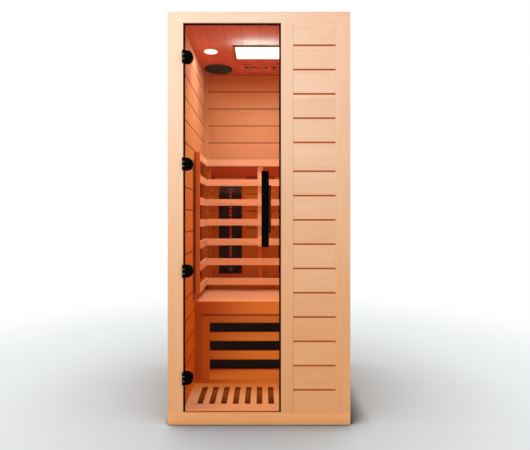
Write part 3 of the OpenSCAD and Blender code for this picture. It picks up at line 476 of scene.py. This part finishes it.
def door_glazing():
    """Amber float glass. Lamps shine through it, and its faces carry faint wiping marks."""
    finish = Finish("amber door glass")
    wipes = finish.noise(finish.stretched(finish.place, (1.0, 1.0, 0.25)), 9.0, 3.0)
    amber = tone(250, 194, 174)
    glass = finish.node("ShaderNodeBsdfPrincipled", None, {
        "Base Color": finish.blend(wipes * 0.10, amber, tone(246, 188, 166)),
        "Roughness": wipes * 0.006,
        "IOR": 1.12,
        "Transmission Weight": 1.0,
    })
    clear = finish.node("ShaderNodeBsdfTransparent", None, {"Color": amber})
    lamp_ray = finish.node("ShaderNodeLightPath", output="Is Shadow Ray")
    finish.show(finish.node("ShaderNodeMixShader", None, {0: lamp_ray, 1: glass, 2: clear}))
    return finish


def powder_coat(name, colour, wear_and_highlight=tone(88, 84, 80), gloss=0.42, shine=0.4, highlight_at=None):
    """Fine orange-peel powder coat, paler where its arrises wear; at a place that is given it is
    paler instead, a painted highlight.
    """
    finish = Finish(name)
    peel = finish.noise(finish.place, 900.0, 2.0)
    patch = finish.noise(finish.place, 14.0, 3.0)
    # A given place takes a painted highlight; without one the arrises wear paler
    if highlight_at:
        wear_and_highlight_mask = highlight_at(*finish.axes())
    else:
        wear_and_highlight_mask = finish.edges(0.0010) * patch.between(0.42, 0.62)
    return finish.surface(
        Base_Color=finish.blend(wear_and_highlight_mask * 0.35, colour, wear_and_highlight),
        Roughness=gloss + patch * 0.12 - wear_and_highlight_mask * 0.08,
        Normal=finish.raised(peel, 0.0002, 0.35),
        Specular_IOR_Level=shine,
    )


def bare_steel(name, colour, grain="X", gloss=0.26):
    """Brushed steel with fine lines along one way and a slow change of sheen."""
    finish = Finish(name)
    lines = finish.noise(finish.stretched(finish.place, GRAIN[grain]), 1400.0, 2.0)
    patch = finish.noise(finish.place, 20.0, 2.0)
    return finish.surface(
        Base_Color=finish.blend(patch * 0.4, colour, tone(150, 146, 140)),
        Metallic=1.0,
        Roughness=gloss + lines * 0.14 + patch * 0.06,
        Normal=finish.raised(lines, 0.00012, 0.4),
    )


def moulded(name, colour, gloss=0.45, spark=500.0):
    """Moulded plastic with a fine spark-eroded grain."""
    finish = Finish(name)
    grain = finish.noise(finish.place, spark, 3.0, 0.6)
    patch = finish.noise(finish.place, 12.0, 2.0)
    deeper = tuple(level * 0.82 for level in colour[:3]) + (1.0,)
    return finish.surface(
        Base_Color=finish.blend(patch.between(0.3, 0.8) * 0.5 + grain * 0.15, colour, deeper),
        Roughness=gloss + grain * 0.12,
        Normal=finish.raised(grain, 0.00015, 0.5),
    )


def soft_rubber(name, colour):
    """Matt rubber with a pale bloom in patches."""
    finish = Finish(name)
    bloom = finish.noise(finish.place, 60.0, 3.0)
    fine = finish.noise(finish.place, 1200.0, 1.0)
    return finish.surface(
        Base_Color=finish.blend(bloom.between(0.5, 0.8) * 0.3, colour, tone(60, 30, 26)),
        Roughness=0.62 + bloom * 0.2,
        Normal=finish.raised(fine, 0.0002, 0.4),
        Specular_IOR_Level=0.06,
    )


def mineral_wool():
    """A slab of tangled strands with soft tufts."""
    finish = Finish("mineral wool slab")
    strands = finish.noise(finish.stretched(finish.place, (1.0, 1.0, 0.3)), 180.0, 6.0, 0.75)
    tufts = finish.noise(finish.place, 26.0, 3.0)
    return finish.surface(
        Base_Color=finish.blend(strands, tone(206, 190, 142), tone(168, 150, 104)),
        Roughness=0.95,
        Normal=finish.raised(strands * 0.6 + tufts * 0.6, 0.003, 0.9),
    )


def heating_tube():
    """Quartz tube, glowing red where the coil is close behind the wall of the tube."""
    finish = Finish("glowing heating tube")
    z = finish.axes()[2]
    coil = (z * 250.0).sine().between(-0.3, 0.3)
    lit = abs(z - TUBE_MIDDLE).between(0.210, 0.230, 1.0, 0.0)
    glow = finish.blend(lit * (coil * 0.85 + 0.15), BLACK, tone(255, 84, 56))
    return finish.surface(
        Base_Color=tone(70, 26, 22),
        Roughness=0.25 + coil * 0.1,
        Emission_Color=glow,
        Emission_Strength=0.6,
    )


def carbon_heater():
    """Black heating sheet with a woven scrim under a matt film."""
    finish = Finish("black heating sheet")
    x, _, z = finish.axes()
    weave = (x * 2600.0).sine() * (z * 2600.0).sine() * 0.5 + 0.5
    patch = finish.noise(finish.place, 8.0, 3.0)
    return finish.surface(
        Base_Color=finish.blend(patch, tone(7, 6, 6), tone(15, 13, 12)),
        Roughness=0.6 + weave * 0.12,
        Normal=finish.raised(weave, 0.0002, 0.3),
        Specular_IOR_Level=0.10,
    )


def lit_cover():
    """Opal cover with the light behind it, a little dimmer between its dots."""
    finish = Finish("lit opal cover")
    dots = finish.cells(finish.place, 220.0)
    glow = finish.blend(dots.between(0.2, 0.9), tone(228, 247, 255), tone(220, 240, 250))
    return finish.surface(
        Base_Color=tone(250, 248, 244),
        Roughness=0.35 + dots * 0.1,
        Emission_Color=glow,
        Emission_Strength=2.6,
        Normal=finish.raised(dots, 0.0003, 0.3),
    )


def glazed_ceramic():
    """Tube holders of a fine crackled glaze, browned by the heat."""
    finish = Finish("glazed ceramic")
    crackle = finish.cells(finish.place, 260.0, "DISTANCE_TO_EDGE").between(0.0, 0.06, 1.0, 0.0)
    stain_and_shade = finish.noise(finish.place, 60.0, 3.0)
    browned = crackle * 0.3 + stain_and_shade * 0.6
    return finish.surface(
        Base_Color=finish.blend(browned, tone(120, 100, 84), tone(70, 52, 40)),
        Roughness=0.28 + stain_and_shade * 0.2,
        Normal=finish.raised(crackle, 0.0001, 0.4),
    )


# ---------------------------------------------------------------- dressing the frame

def everywhere(x, y, z):
    return 1.0


def facing_up(x, y, z):
    """1 on faces that look up."""
    return z.finish.outward(2) > 0.5


def facing_front(x, y, z):
    """1 on faces that look to the door."""
    return y.finish.outward(1).between(-0.8, -0.5, 1.0, 0.0)


def behind_screen(x, y, z):
    """1 below the top of the screens and 0 above it, where a painted shade lies behind them."""
    return z.between(SCREEN_TOP, SCREEN_TOP + SCREEN_FADE, 1.0, 0.0)


def past_screen_front(y):
    return y.between(-0.03, -0.02)


def behind_side_screen(x, y, z):
    return behind_screen(x, y, z) * past_screen_front(y)


def behind_top_rail(x, y, z):
    """The shade that lies under the top rail of the screens."""
    return abs(z - 1.285).between(0.06, 0.10, 1.0, 0.0) * past_screen_front(y)


# Where a painted shade darkens the ends near the side walls
def near_side_wall(x, y, z):
    return abs(x).between(0.26, 0.34)


def beside_post(x, y, z):
    """The narrow shade on a side wall in front of the side screen's post."""
    beside = y.between(-0.13, -0.03) * (y < SCREEN_FRONT)
    return beside * z.between(0.50, 0.53) * z.between(1.25, 1.38, 1.0, 0.0)


# Where a painted shade darkens the front post
def front_post(x, y, z):
    return y < POST_BACK


# A painted shadow of a gap between the post and the wall
def at_post_edge(x, y, z):
    return (abs(x) > POST_SIDE) * (y < POST_BACK)


# Where a painted shade darkens the rear post
def rear_post(x, y, z):
    return y > REAR_POST_FRONT


def shaded_battens(x, y, z):
    """Painted shade on the end battens, and on the foot of the middle one."""
    at_end = abs(x) > 0.2
    middle_foot = (abs(x) < 0.2) * (z < 0.80)
    return (y > RAIL_BACK) * (at_end + middle_foot)


# Where a painted shade darkens the top rail
def top_rail(x, y, z):
    return z > TOP_RAIL_FOOT


def over_screen(x, y, z):
    """The wall from the back screen's top to about head height, which takes a painted shade."""
    return z.between(SCREEN_TOP, SCREEN_TOP + SCREEN_FADE) * z.between(1.50, 1.68, 1.0, 0.0)


# Where a painted shade darkens the walls near the floor
def near_floor(x, y, z):
    return z.between(0.15, 0.50, 1.0, 0.0)


def under_header(x, y, z):
    """The underside of the header behind the door, where a painted shade lies."""
    return (y > GLASS_BACK) * (z < HEADER_FOOT + 0.001)


# Where a painted shade darkens the top of the back wall
def high_on_wall(x, y, z):
    return z.between(1.74, 1.90)


def above_ceiling(x, y, z):
    return z > CEILING


def shaded_deep_ceiling(x, y, z):
    """The ceiling from the light panel to the back wall, which takes a painted shade."""
    return y.between(-0.16, 0.0)


def far_left(x, y, z):
    """1 at the left end of the bench, the furthest from the light, and 0 past its middle."""
    return x.between(-0.46, 0.10, 1.0, 0.0)


def far_left_front(x, y, z):
    return facing_front(x, y, z) * far_left(x, y, z)


def far_left_kick(x, y, z):
    """The left end of the kick panel but for its foot rail, which the floor brightens."""
    above = z.between(0.07, 0.10)
    return far_left(x, y, z) * above.maths("MAXIMUM", above, kick_stiles(x, y, z))


# Where a painted shade darkens the floor under the bench
def near_bench(x, y, z):
    return y.between(-0.20, -0.06)


def outside_sill(x, y, z):
    """All of the bottom rail but its sill behind the glass, where a painted shade lies."""
    return 1.0 - (y > GLASS_BACK) * (abs(x) < SILL_END)


# Where a painted shade darkens the stiles right of the door
def right_of_door(x, y, z):
    return (x > 0.0) * z.between(*FADE, 1.0, 0.0)


def shaded_right_of_front(x, y, z):
    """Painted shade on the upper right of the front, further from the lamp on the left."""
    return x.between(-0.05, HALF_WIDTH) * z.between(0.8, 1.8)


def lit_guard_band(x, y, z):
    """A painted highlight in a band across the guards of the back wall, where the ceiling light
    falls on them.
    """
    return z.between(1.14, 1.18) * (y > 0.3)


def kick_stiles(x, y, z):
    return abs(x) > KICK_INNER


def corner_stiles(x, y, z):
    """The corner boards but for their top and bottom rails."""
    return abs(z - CORNER_MIDDLE) < CORNER_REACH


def dress_timber():
    panel_ends = [
        (0, PANEL_LEFT, 0.0016, 0.40),
        (0, PANEL_RIGHT, 0.0016, 0.15),
        (2, HEADER_FOOT, 0.0024, 0.35),
    ]
    kick_ends = [(0, side * KICK_OUTER, 0.0018, 0.7) for side in (-1, 1)]
    # A painted shade on the kick panel under the bench front's overhang
    shade_under_bench_front = [(2, BENCH_FRONT_FOOT, 0.014, 0.7)]
    # The outer timber darkens towards the floor with painted shade
    outer = dict(tones=OUTSIDE, foot=OUTSIDE_FOOT_SHADE, groove=OUTSIDE_GROOVE)
    inner = dict(tones=INSIDE, groove=INSIDE_GROOVE)
    wall_joints = (2, CEILING, INNER_PITCH, 0.0036)
    # Painted shade on the upper right of the front
    right_side_shades = [(shaded_right_of_front, RIGHT_SIDE_SHADE)]
    # Painted shade behind the screens and under their top rail
    screen_shades = [(behind_screen, BEHIND_SCREEN_SHADE), (behind_top_rail, SHADED)]
    side_screen_shades = [(behind_side_screen, BEHIND_SCREEN_SHADE), (behind_top_rail, SHADED)]
    # The stiles right of the door take a painted shade
    dress(cad["front_stiles"], timber(
        "front stiles", "Z", OUTSIDE, foot=STILE_FOOT_SHADE, row=stile_number,
        seams_and_shade_lines=[(0, PANEL_LEFT, 0.0028, 0.30)], painted_shades=right_side_shades + [(right_of_door, RIGHT_STILES_SHADE)]))
    # Painted shade under the header
    dress(cad["front_header"], timber(
        "front header", "X", painted_shades=right_side_shades + [(under_header, UNDER_HEADER_SHADE)], **outer))
    # The outer faces of the bottom rail take a painted shade, like the foot of the front
    dress(cad["front_bottom_rail"], timber(
        "front bottom rail", "X", SILL, seams_and_shade_lines=[(2, SILL_TOP, 0.0026, 0.2)],
        painted_shades=[(outside_sill, OUTER_RAIL_SHADE)]))
    dress(cad["front_outer_boards"], timber(
        "front panel boards", "X", row=outer_row, seams_and_shade_lines=panel_ends, face=(1, HALF_DEPTH, -1),
        painted_shades=right_side_shades, **outer))
    for side in ("left", "right"):
        dress(cad[side + "_outer_boards"], timber(
            side + " outer boards", "Y", row=outer_row, face=(0, HALF_WIDTH, -1), **outer))
        # Painted shade on the side walls: low down, behind the side screens, beside the posts and
        # near the floor
        dress(cad[side + "_inner_boards"], timber(
            side + " inner boards", "Y", row=inner_row, face=(0, SIDE_WALL, 1),
            joints=wall_joints, foot=INSIDE_FOOT_SHADE,
            painted_shades=side_screen_shades + [(beside_post, GAP_SHADE), (near_floor, WALL_FOOT_SHADE)], **inner))
    dress(cad["back_outer_boards"], timber(
        "back outer boards", "X", row=outer_row, face=(1, HALF_DEPTH, -1), **outer))
    dress(cad["outer_trim_boards"], timber(
        "corner boards", "LEVEL", upright=corner_stiles, **outer))
    # Painted shade on the back wall: behind the screens, above them and high up
    dress(cad["back_inner_boards"], timber(
        "back inner boards", "X", row=back_row, face=(1, BACK_WALL, 1), joints=wall_joints,
        painted_shades=screen_shades + [(high_on_wall, HIGH_WALL_SHADE), (over_screen, MID_WALL_SHADE)], **inner))
    dress(cad["front_inner_boards"], timber(
        "front inner boards", "X", row=inner_row, face=(1, FRONT_WALL, 1), **inner))
    # Painted shade on the corner trims behind the screens
    dress(cad["inner_corner_trims"], timber(
        "inner corner trims", "Z", INSIDE,
        painted_shades=[(behind_screen, BEHIND_SCREEN_SHADE), (behind_screen, CORNER_SHADE)]))
    # Painted shade on the deep part of the ceiling
    dress(cad["ceiling_boards"], timber(
        "ceiling boards", "Y", CEILING_BOARDS, row=ceiling_row, face=(2, CEILING, 1),
        groove=CEILING_GROOVE, painted_shades=[(shaded_deep_ceiling, DEEP_CEILING_SHADE)]))
    # Painted shade on the floor under the bench
    bench_shades = [(near_bench, UNDER_BENCH_SHADE)]
    dress(cad["floor_boards"], timber(
        "floor boards", "X", FLOOR, row=floor_row, painted_shades=bench_shades))
    dress(cad["floor_grate"], timber(
        "slotted floor board", "X", FLOOR, face=(2, GRATE_TOP, -1), groove=SLOT_WALL,
        painted_shades=bench_shades))
    dress(cad["bench_top_boards"], timber(
        "bench boards", "X", SEAT, row=bench_row, groove=BENCH_GROOVE,
        joints=(1, BENCH_START, BENCH_JOINTS, 0.006)))
    # Painted shade on the nosing's front face, deeper at its left end
    dress(cad["bench_nosing"], timber(
        "bench front", "X", SEAT,
        painted_shades=[(facing_front, NOSING_FRONT_SHADE), (far_left_front, NOSING_END_SHADE)]))
    # Painted shade on the bench supports near the side walls
    dress(cad["bench_supports"], timber(
        "bench supports", "LEVEL", TRIM, painted_shades=[(near_side_wall, CORNER_SHADE)]))
    # Painted shade on the kick panel: on its faces that look up, near the side walls, at its left
    # end and under the bench front
    dress(cad["kick_panel"], timber(
        "kick panel", "X", TRIM, upright=kick_stiles, seams_and_shade_lines=kick_ends + shade_under_bench_front,
        painted_shades=[(facing_up, RECESS_SHADE), (near_side_wall, KICK_CORNER_SHADE), (far_left_kick, LEFT_END_SHADE)]))
    # Painted shade at the left end of the skirting, far from the light
    dress(cad["plinth"], timber("skirting", "X", TRIM, painted_shades=[(far_left, LEFT_END_SHADE)]))
    # Painted shade on the battens and the top rail of the back screen
    dress(cad["back_screen"], timber(
        "back screen", "X", SEAT, row=inner_row,
        painted_shades=[(shaded_battens, BATTEN_SHADE), (top_rail, TOP_RAIL_SHADE)]))
    # Painted shade on the side screens' posts, with a painted shadow beside the front post
    dress(cad["side_screens"], timber(
        "side screens", "Y", SEAT, row=inner_row,
        painted_shades=[(front_post, POST_SHADE), (at_post_edge, GAP_SHADE), (rear_post, REAR_POST_SHADE)]))
    # Painted shade all over the heater surrounds
    dress(cad["heater_surrounds"], timber(
        "heater surrounds", "Z", TRIM, painted_shades=[(everywhere, RECESS_SHADE)]))
    dress(cad["vent_cover"], timber("vent cover", "X", OVERHEAD))
    dress(cad["vent_shutter"], timber(
        "vent shutter", "X", OVERHEAD, painted_shades=[(above_ceiling, IN_SHADE)]))
    dress(cad["handle_grip"], timber("inner handle grip", "Z", GRIP))
    dress(cad["wall_frames"], timber("wall studs", "Z", OUTSIDE, foot=OUTSIDE_FOOT_SHADE))
    dress(cad["roof_frame"], timber("roof battens", "LEVEL", OUTSIDE))
    # The floor ply's front part takes a painted shade
    dress(cad["base_board"], layered_wood(
        "floor ply", tone(164, 104, 16), tone(128, 78, 10), film=True, stain_and_shade=tone(160, 120, 0)))
    dress(cad["roof_top_board"], layered_wood(
        "roof ply", tone(226, 196, 156), tone(204, 164, 116)))


def dress_fittings():
    black = powder_coat("black powder coat", tone(4, 4, 4), tone(46, 44, 42), 0.42, 0.02)
    for name in ("hinge_outer_plates", "hinge_inner_plates", "hinge_leaves", "hinge_clamp_screws",
                 "hinge_leaf_screws", "handle_bar", "handle_standoffs"):
        dress(cad[name], black)
    steel = bare_steel("brushed steel", tone(206, 203, 198), "Z")
    for name in ("hinge_pins", "hinge_washers", "strike_plate"):
        dress(cad[name], steel)
    dress(cad["kick_panel_screws"], bare_steel(
        "yellow plated steel", tone(226, 176, 96), "X", 0.4))
    rubber = soft_rubber("dark seal rubber", tone(56, 12, 6))
    for name in ("door_seal", "hinge_gaskets", "door_magnet"):
        dress(cad[name], rubber)
    dress(cad["control_box"], powder_coat(
        "grey powder coat", tone(196, 196, 194), tone(230, 230, 226)))
    dress(cad["control_box_lid"], powder_coat(
        "pale powder coat", tone(206, 206, 204), tone(236, 236, 232)))
    dress(cad["power_inlet"], moulded("black socket plastic", tone(22, 22, 23)))
    dress(cad["control_panel"], moulded("black panel plastic", tone(18, 18, 19), 0.18, 900.0))
    dress(cad["speakers"], moulded("loudspeaker plastic", tone(44, 72, 84), 0.6))
    dress(cad["downlights"], moulded("white ring plastic", tone(238, 234, 226), 0.35))
    dress(cad["light_panel_frame"], moulded("light panel frame", tone(132, 118, 108), 0.45))
    dress(cad["light_diffusers"], lit_cover())
    dress(cad["door_glass"], door_glazing())
    dress(cad["wall_insulation"], mineral_wool())
    dress(cad["calf_heater"], carbon_heater())
    dress(cad["heater_trays"], powder_coat(
        "heat-dark tray", tone(36, 18, 13), tone(70, 50, 40), 0.5))
    dress(cad["heater_tubes"], heating_tube())
    dress(cad["tube_holders"], glazed_ceramic())
    dress(cad["heater_guards"], powder_coat("black guard", tone(20, 17, 16)))


# ---------------------------------------------------------------- new pieces

def piece_from(shape, name, finish, body, slot, *replaced):
    """Makes a finished shape a piece that rides on a body and stands for nodes."""
    bmesh.ops.recalc_face_normals(shape, faces=shape.faces)
    mesh = bpy.data.meshes.new(name)
    shape.to_mesh(mesh)
    shape.free()
    piece = bpy.data.objects.new(name, mesh)
    scene.collection.objects.link(piece)
    dress(piece, finish)
    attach(piece, body)
    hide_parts(*replaced)


def cut_to(shape, side, at):
    """Cuts off what lies beyond a plane through at, facing side."""
    parts = shape.verts[:] + shape.edges[:] + shape.faces[:]
    bmesh.ops.bisect_plane(shape, geom=parts, plane_co=at, plane_no=side, clear_outer=True)


def turned(degrees, axis):
    return Matrix.Rotation(math.radians(degrees), 3, axis)


def guard_sheet():
    """One guard of expanded metal in a flat rim, drawn in x and z with its foot at z = 0."""
    sheet = bmesh.new()
    bmesh.ops.create_grid(
        sheet, x_segments=MESH_CELLS, y_segments=MESH_CELLS, size=MESH_CELLS * MESH_PITCH / 2)
    bmesh.ops.rotate(sheet, verts=sheet.verts, matrix=turned(45, "Z"))
    bmesh.ops.rotate(sheet, verts=sheet.verts, matrix=turned(90, "X"))
    bmesh.ops.scale(sheet, verts=sheet.verts, vec=(1.0, 1.0, MESH_STRETCH))
    bmesh.ops.translate(sheet, verts=sheet.verts, vec=(0, 0, HEATER_HIGH / 2))
    half = HEATER_WIDE / 2 - GUARD_EDGE
    cut_to(sheet, (1, 0, 0), (half, 0, 0))
    cut_to(sheet, (-1, 0, 0), (-half, 0, 0))
    cut_to(sheet, (0, 0, 1), (0, 0, HEATER_HIGH - GUARD_EDGE))
    cut_to(sheet, (0, 0, -1), (0, 0, GUARD_EDGE))
    bmesh.ops.wireframe(
        sheet, faces=sheet.faces[:], thickness=WIRE_THICK, use_replace=True, use_boundary=True,
        use_even_offset=False)
    rim = bmesh.ops.create_grid(sheet, x_segments=1, y_segments=1, size=0.5)["verts"]
    bmesh.ops.rotate(sheet, verts=rim, matrix=turned(90, "X"))
    bmesh.ops.scale(sheet, verts=rim, vec=(HEATER_WIDE, 1.0, HEATER_HIGH))
    bmesh.ops.translate(sheet, verts=rim, vec=(0, 0, HEATER_HIGH / 2))
    face = rim[0].link_faces[0]
    bmesh.ops.inset_region(sheet, faces=[face], thickness=GUARD_RIM)
    ring = [f for f in sheet.faces if f != face and any(v in rim for v in f.verts)]
    bmesh.ops.delete(sheet, geom=[face], context="FACES")
    bmesh.ops.solidify(sheet, geom=ring, thickness=GUARD_THICK)
    return sheet


def copied(shape, turn, shift):
    """A turned and shifted copy of a shape."""
    copy = shape.copy()
    bmesh.ops.rotate(copy, verts=copy.verts, matrix=turned(turn, "Z"))
    bmesh.ops.translate(copy, verts=copy.verts, vec=shift)
    return copy


def make_guards():
    """The guards of the four tube heaters, each standing a little proud of its wall."""
    sheet = guard_sheet()
    level = [v.co.y for v in sheet.verts]
    bmesh.ops.translate(sheet, verts=sheet.verts, vec=(0, -(min(level) + max(level)) / 2, 0))
    front = GUARD_PROUD - GUARD_THICK / 2
    # The pale tone is a painted highlight in a band on the back guards, where the ceiling light
    # falls
    finish = powder_coat(
        "black guard mesh", tone(30, 18, 16), tone(250, 236, 230), 0.5, highlight_at=lit_guard_band)
    places = [
        ("left_back", 0, (-HEATER_X, BACK_WALL - front, HEATER_FOOT)),
        ("right_back", 0, (HEATER_X, BACK_WALL - front, HEATER_FOOT)),
        ("left_side", 90, (-SIDE_WALL + front, HEATER_SIDE_Y, HEATER_FOOT)),
        ("right_side", -90, (SIDE_WALL - front, HEATER_SIDE_Y, HEATER_FOOT)),
    ]
    for where, turn, shift in places:
        guard = copied(sheet, turn, shift)
        piece_from(guard, "guard_mesh_" + where, finish, "cabin", "black_mesh", "heater_guards")
    sheet.free()


# ---------------------------------------------------------------- room and lamps

# The room's light on the cabin, where 1 is the white that is seen
ROOM_LIGHT = 0.88
# The distances from the cabin between which the floor runs out into white
RUN_OUT = (1.2, 3.1)


def seen_ray(finish):
    """1 for rays from the camera, from a mirror or through glass."""
    path = finish.node("ShaderNodeLightPath", output="Is Camera Ray")
    outputs = path.socket.node.outputs
    glossy = Amount(finish, outputs["Is Glossy Ray"])
    through = Amount(finish, outputs["Is Transmission Ray"])
    return path.maths("MAXIMUM", path, glossy.maths("MAXIMUM", glossy, through))


class Room(Finish):
    """The white room round the cabin and the nodes that make it."""

    def __init__(self, name):
        self.world = bpy.data.worlds.new(name)
        self.world.use_nodes = True
        self.tree = self.world.node_tree
        self.tree.nodes.clear()

    def glow(self, level):
        return self.node("ShaderNodeBackground", None, {"Color": WHITE, "Strength": level})


def light_world():
    """Soft light from all round, which shows as plain white where it is seen."""
    room = Room("studio")
    scene.world = room.world
    shares = {0: seen_ray(room), 1: room.glow(ROOM_LIGHT), 2: room.glow(1.0)}
    room.show(room.node("ShaderNodeMixShader", None, shares), "ShaderNodeOutputWorld")


def lay_floor():
    """A pale floor that runs out into the white of the room."""
    shape = bmesh.new()
    bmesh.ops.create_grid(shape, x_segments=1, y_segments=1, size=30.0)
    mesh = bpy.data.meshes.new("floor")
    shape.to_mesh(mesh)
    shape.free()
    floor = bpy.data.objects.new("floor", mesh)
    scene.collection.objects.link(floor)
    floor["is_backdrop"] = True
    finish = Finish("studio floor")
    x, y, _ = finish.axes()
    away = (x * x + y * y).power(0.5)
    # The wide soft shade, the narrow one away from the lamp, and the line where it stands
    wide = finish.open_sky(1.1, Normal=finish.vector(-0.06, -0.08, 0.99))
    beside = finish.open_sky(0.14, Normal=finish.vector(-0.75, 0.0, 0.66))
    under = finish.open_sky(0.035)
    touch = beside.between(0.15, 0.95, 0.03, 1.0) * under.between(0.45, 0.8, 0.05, 1.0)
    shade = finish.blend(wide.power(1.85) * touch, BLACK, tone(235, 241, 244))
    shade = finish.blend(away.between(*RUN_OUT), shade, WHITE)
    pale = finish.node("ShaderNodeEmission", None, {"Color": shade, "Strength": 1.0})
    grey = finish.blend(touch, BLACK, tone(246, 246, 246))
    lit = finish.node("ShaderNodeBsdfDiffuse", None, {"Color": grey})
    share = away.between(*RUN_OUT, 0.65, 1.0) * seen_ray(finish)
    finish.show(finish.node("ShaderNodeMixShader", None, {0: share, 1: lit, 2: pale}))
    dress(floor, finish)


def hang_lamp(name, at, towards, wide, high, watts, colour, spread=180.0):
    """A lamp with a flat face of that size, which lights the cabin but isn't seen itself."""
    lamp = bpy.data.lights.new(name, "AREA")
    lamp.shape = "RECTANGLE"
    lamp.size = wide
    lamp.size_y = high
    lamp.energy = watts
    lamp.color = colour
    lamp.spread = math.radians(spread)
    holder = bpy.data.objects.new(name, lamp)
    holder.location = at
    holder.rotation_euler = (Vector(towards) - Vector(at)).to_track_quat("-Z", "Y").to_euler()
    holder.visible_camera = False
    holder.visible_glossy = False
    holder.visible_transmission = False
    scene.collection.objects.link(holder)
    return holder


def keep_off_floor(*lamps):
    """These lamps light the cabin alone, so that the floor keeps its soft shadow."""
    lit = bpy.data.collections.new("lit by the cabin lamps")
    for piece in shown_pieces():
        lit.objects.link(piece)
    for lamp in lamps:
        lamp.light_linking.receiver_collection = lit


def light_only(lamp, *names):
    """That lamp lights those nodes alone."""
    lit = bpy.data.collections.new("lit by the " + lamp.name)
    for name in names:
        lit.objects.link(cad[name])
    lamp.light_linking.receiver_collection = lit


def light_cabin():
    """A soft lamp on the front, the cabin's own lights, and what the front lamp sends in
    through the door."""
    cool = (0.64, 0.90, 1.0)
    warm = (0.96, 0.80, 0.32)
    daylight = (0.72, 0.88, 1.0)
    panel = (0, LIGHT_PANEL_Y)
    lamps = [
        hang_lamp("key", (-1.35, -1.75, 1.9), (-0.2, -0.45, 1.3), 0.8, 1.2, 13.5, daylight),
        hang_lamp("light_panel", (*panel, 1.948), (*panel, 0), 0.27, 0.18, 3.7, cool, 130),
        hang_lamp("panel_spill", (*panel, 1.947), (*panel, 0), 0.27, 0.18, 0.9, cool, 170),
        hang_lamp("front_low", (0, -0.375, 0.18), (0, 0.4, 0.18), 0.5, 0.24, 0.40, warm, 150),
        hang_lamp("front_high", (0, -0.375, 0.95), (0, 0.4, 0.95), 0.4, 0.8, 0.46, warm, 150),
        hang_lamp("front_down", (0, -0.30, 1.90), (0, -0.30, 0), 0.5, 0.12, 1.0, warm, 70),
    ]
    panel_glow = hang_lamp(
        "panel_glow", (0, -0.14, 1.892), (0, -0.14, 3), 0.24, 0.02, 0.9, (0.09, 0.60, 0.84))
    wall_glow = hang_lamp(
        "wall_glow", (-0.270, 0.03, 1.84), (-1, 0.03, 1.84), 0.66, 0.10, 0.42, (0.60, 0.62, 0.86))
    for side in (-1, 1):
        light = (side * ROUND_LIGHT_X, ROUND_LIGHT_Y)
        lamps.append(
            hang_lamp("round_light", (*light, 1.955), (*light, 0), 0.06, 0.06, 0.6, cool, 170))
    keep_off_floor(*lamps)
    light_only(panel_glow, "ceiling_boards")
    light_only(wall_glow, "left_inner_boards")


# ---------------------------------------------------------------- the cabin

stand_camera()
dress_timber()
dress_fittings()
make_guards()
light_world()
lay_floor()
light_cabin()
scene.view_settings.view_transform = "Standard"

bpy.context.view_layer.update()
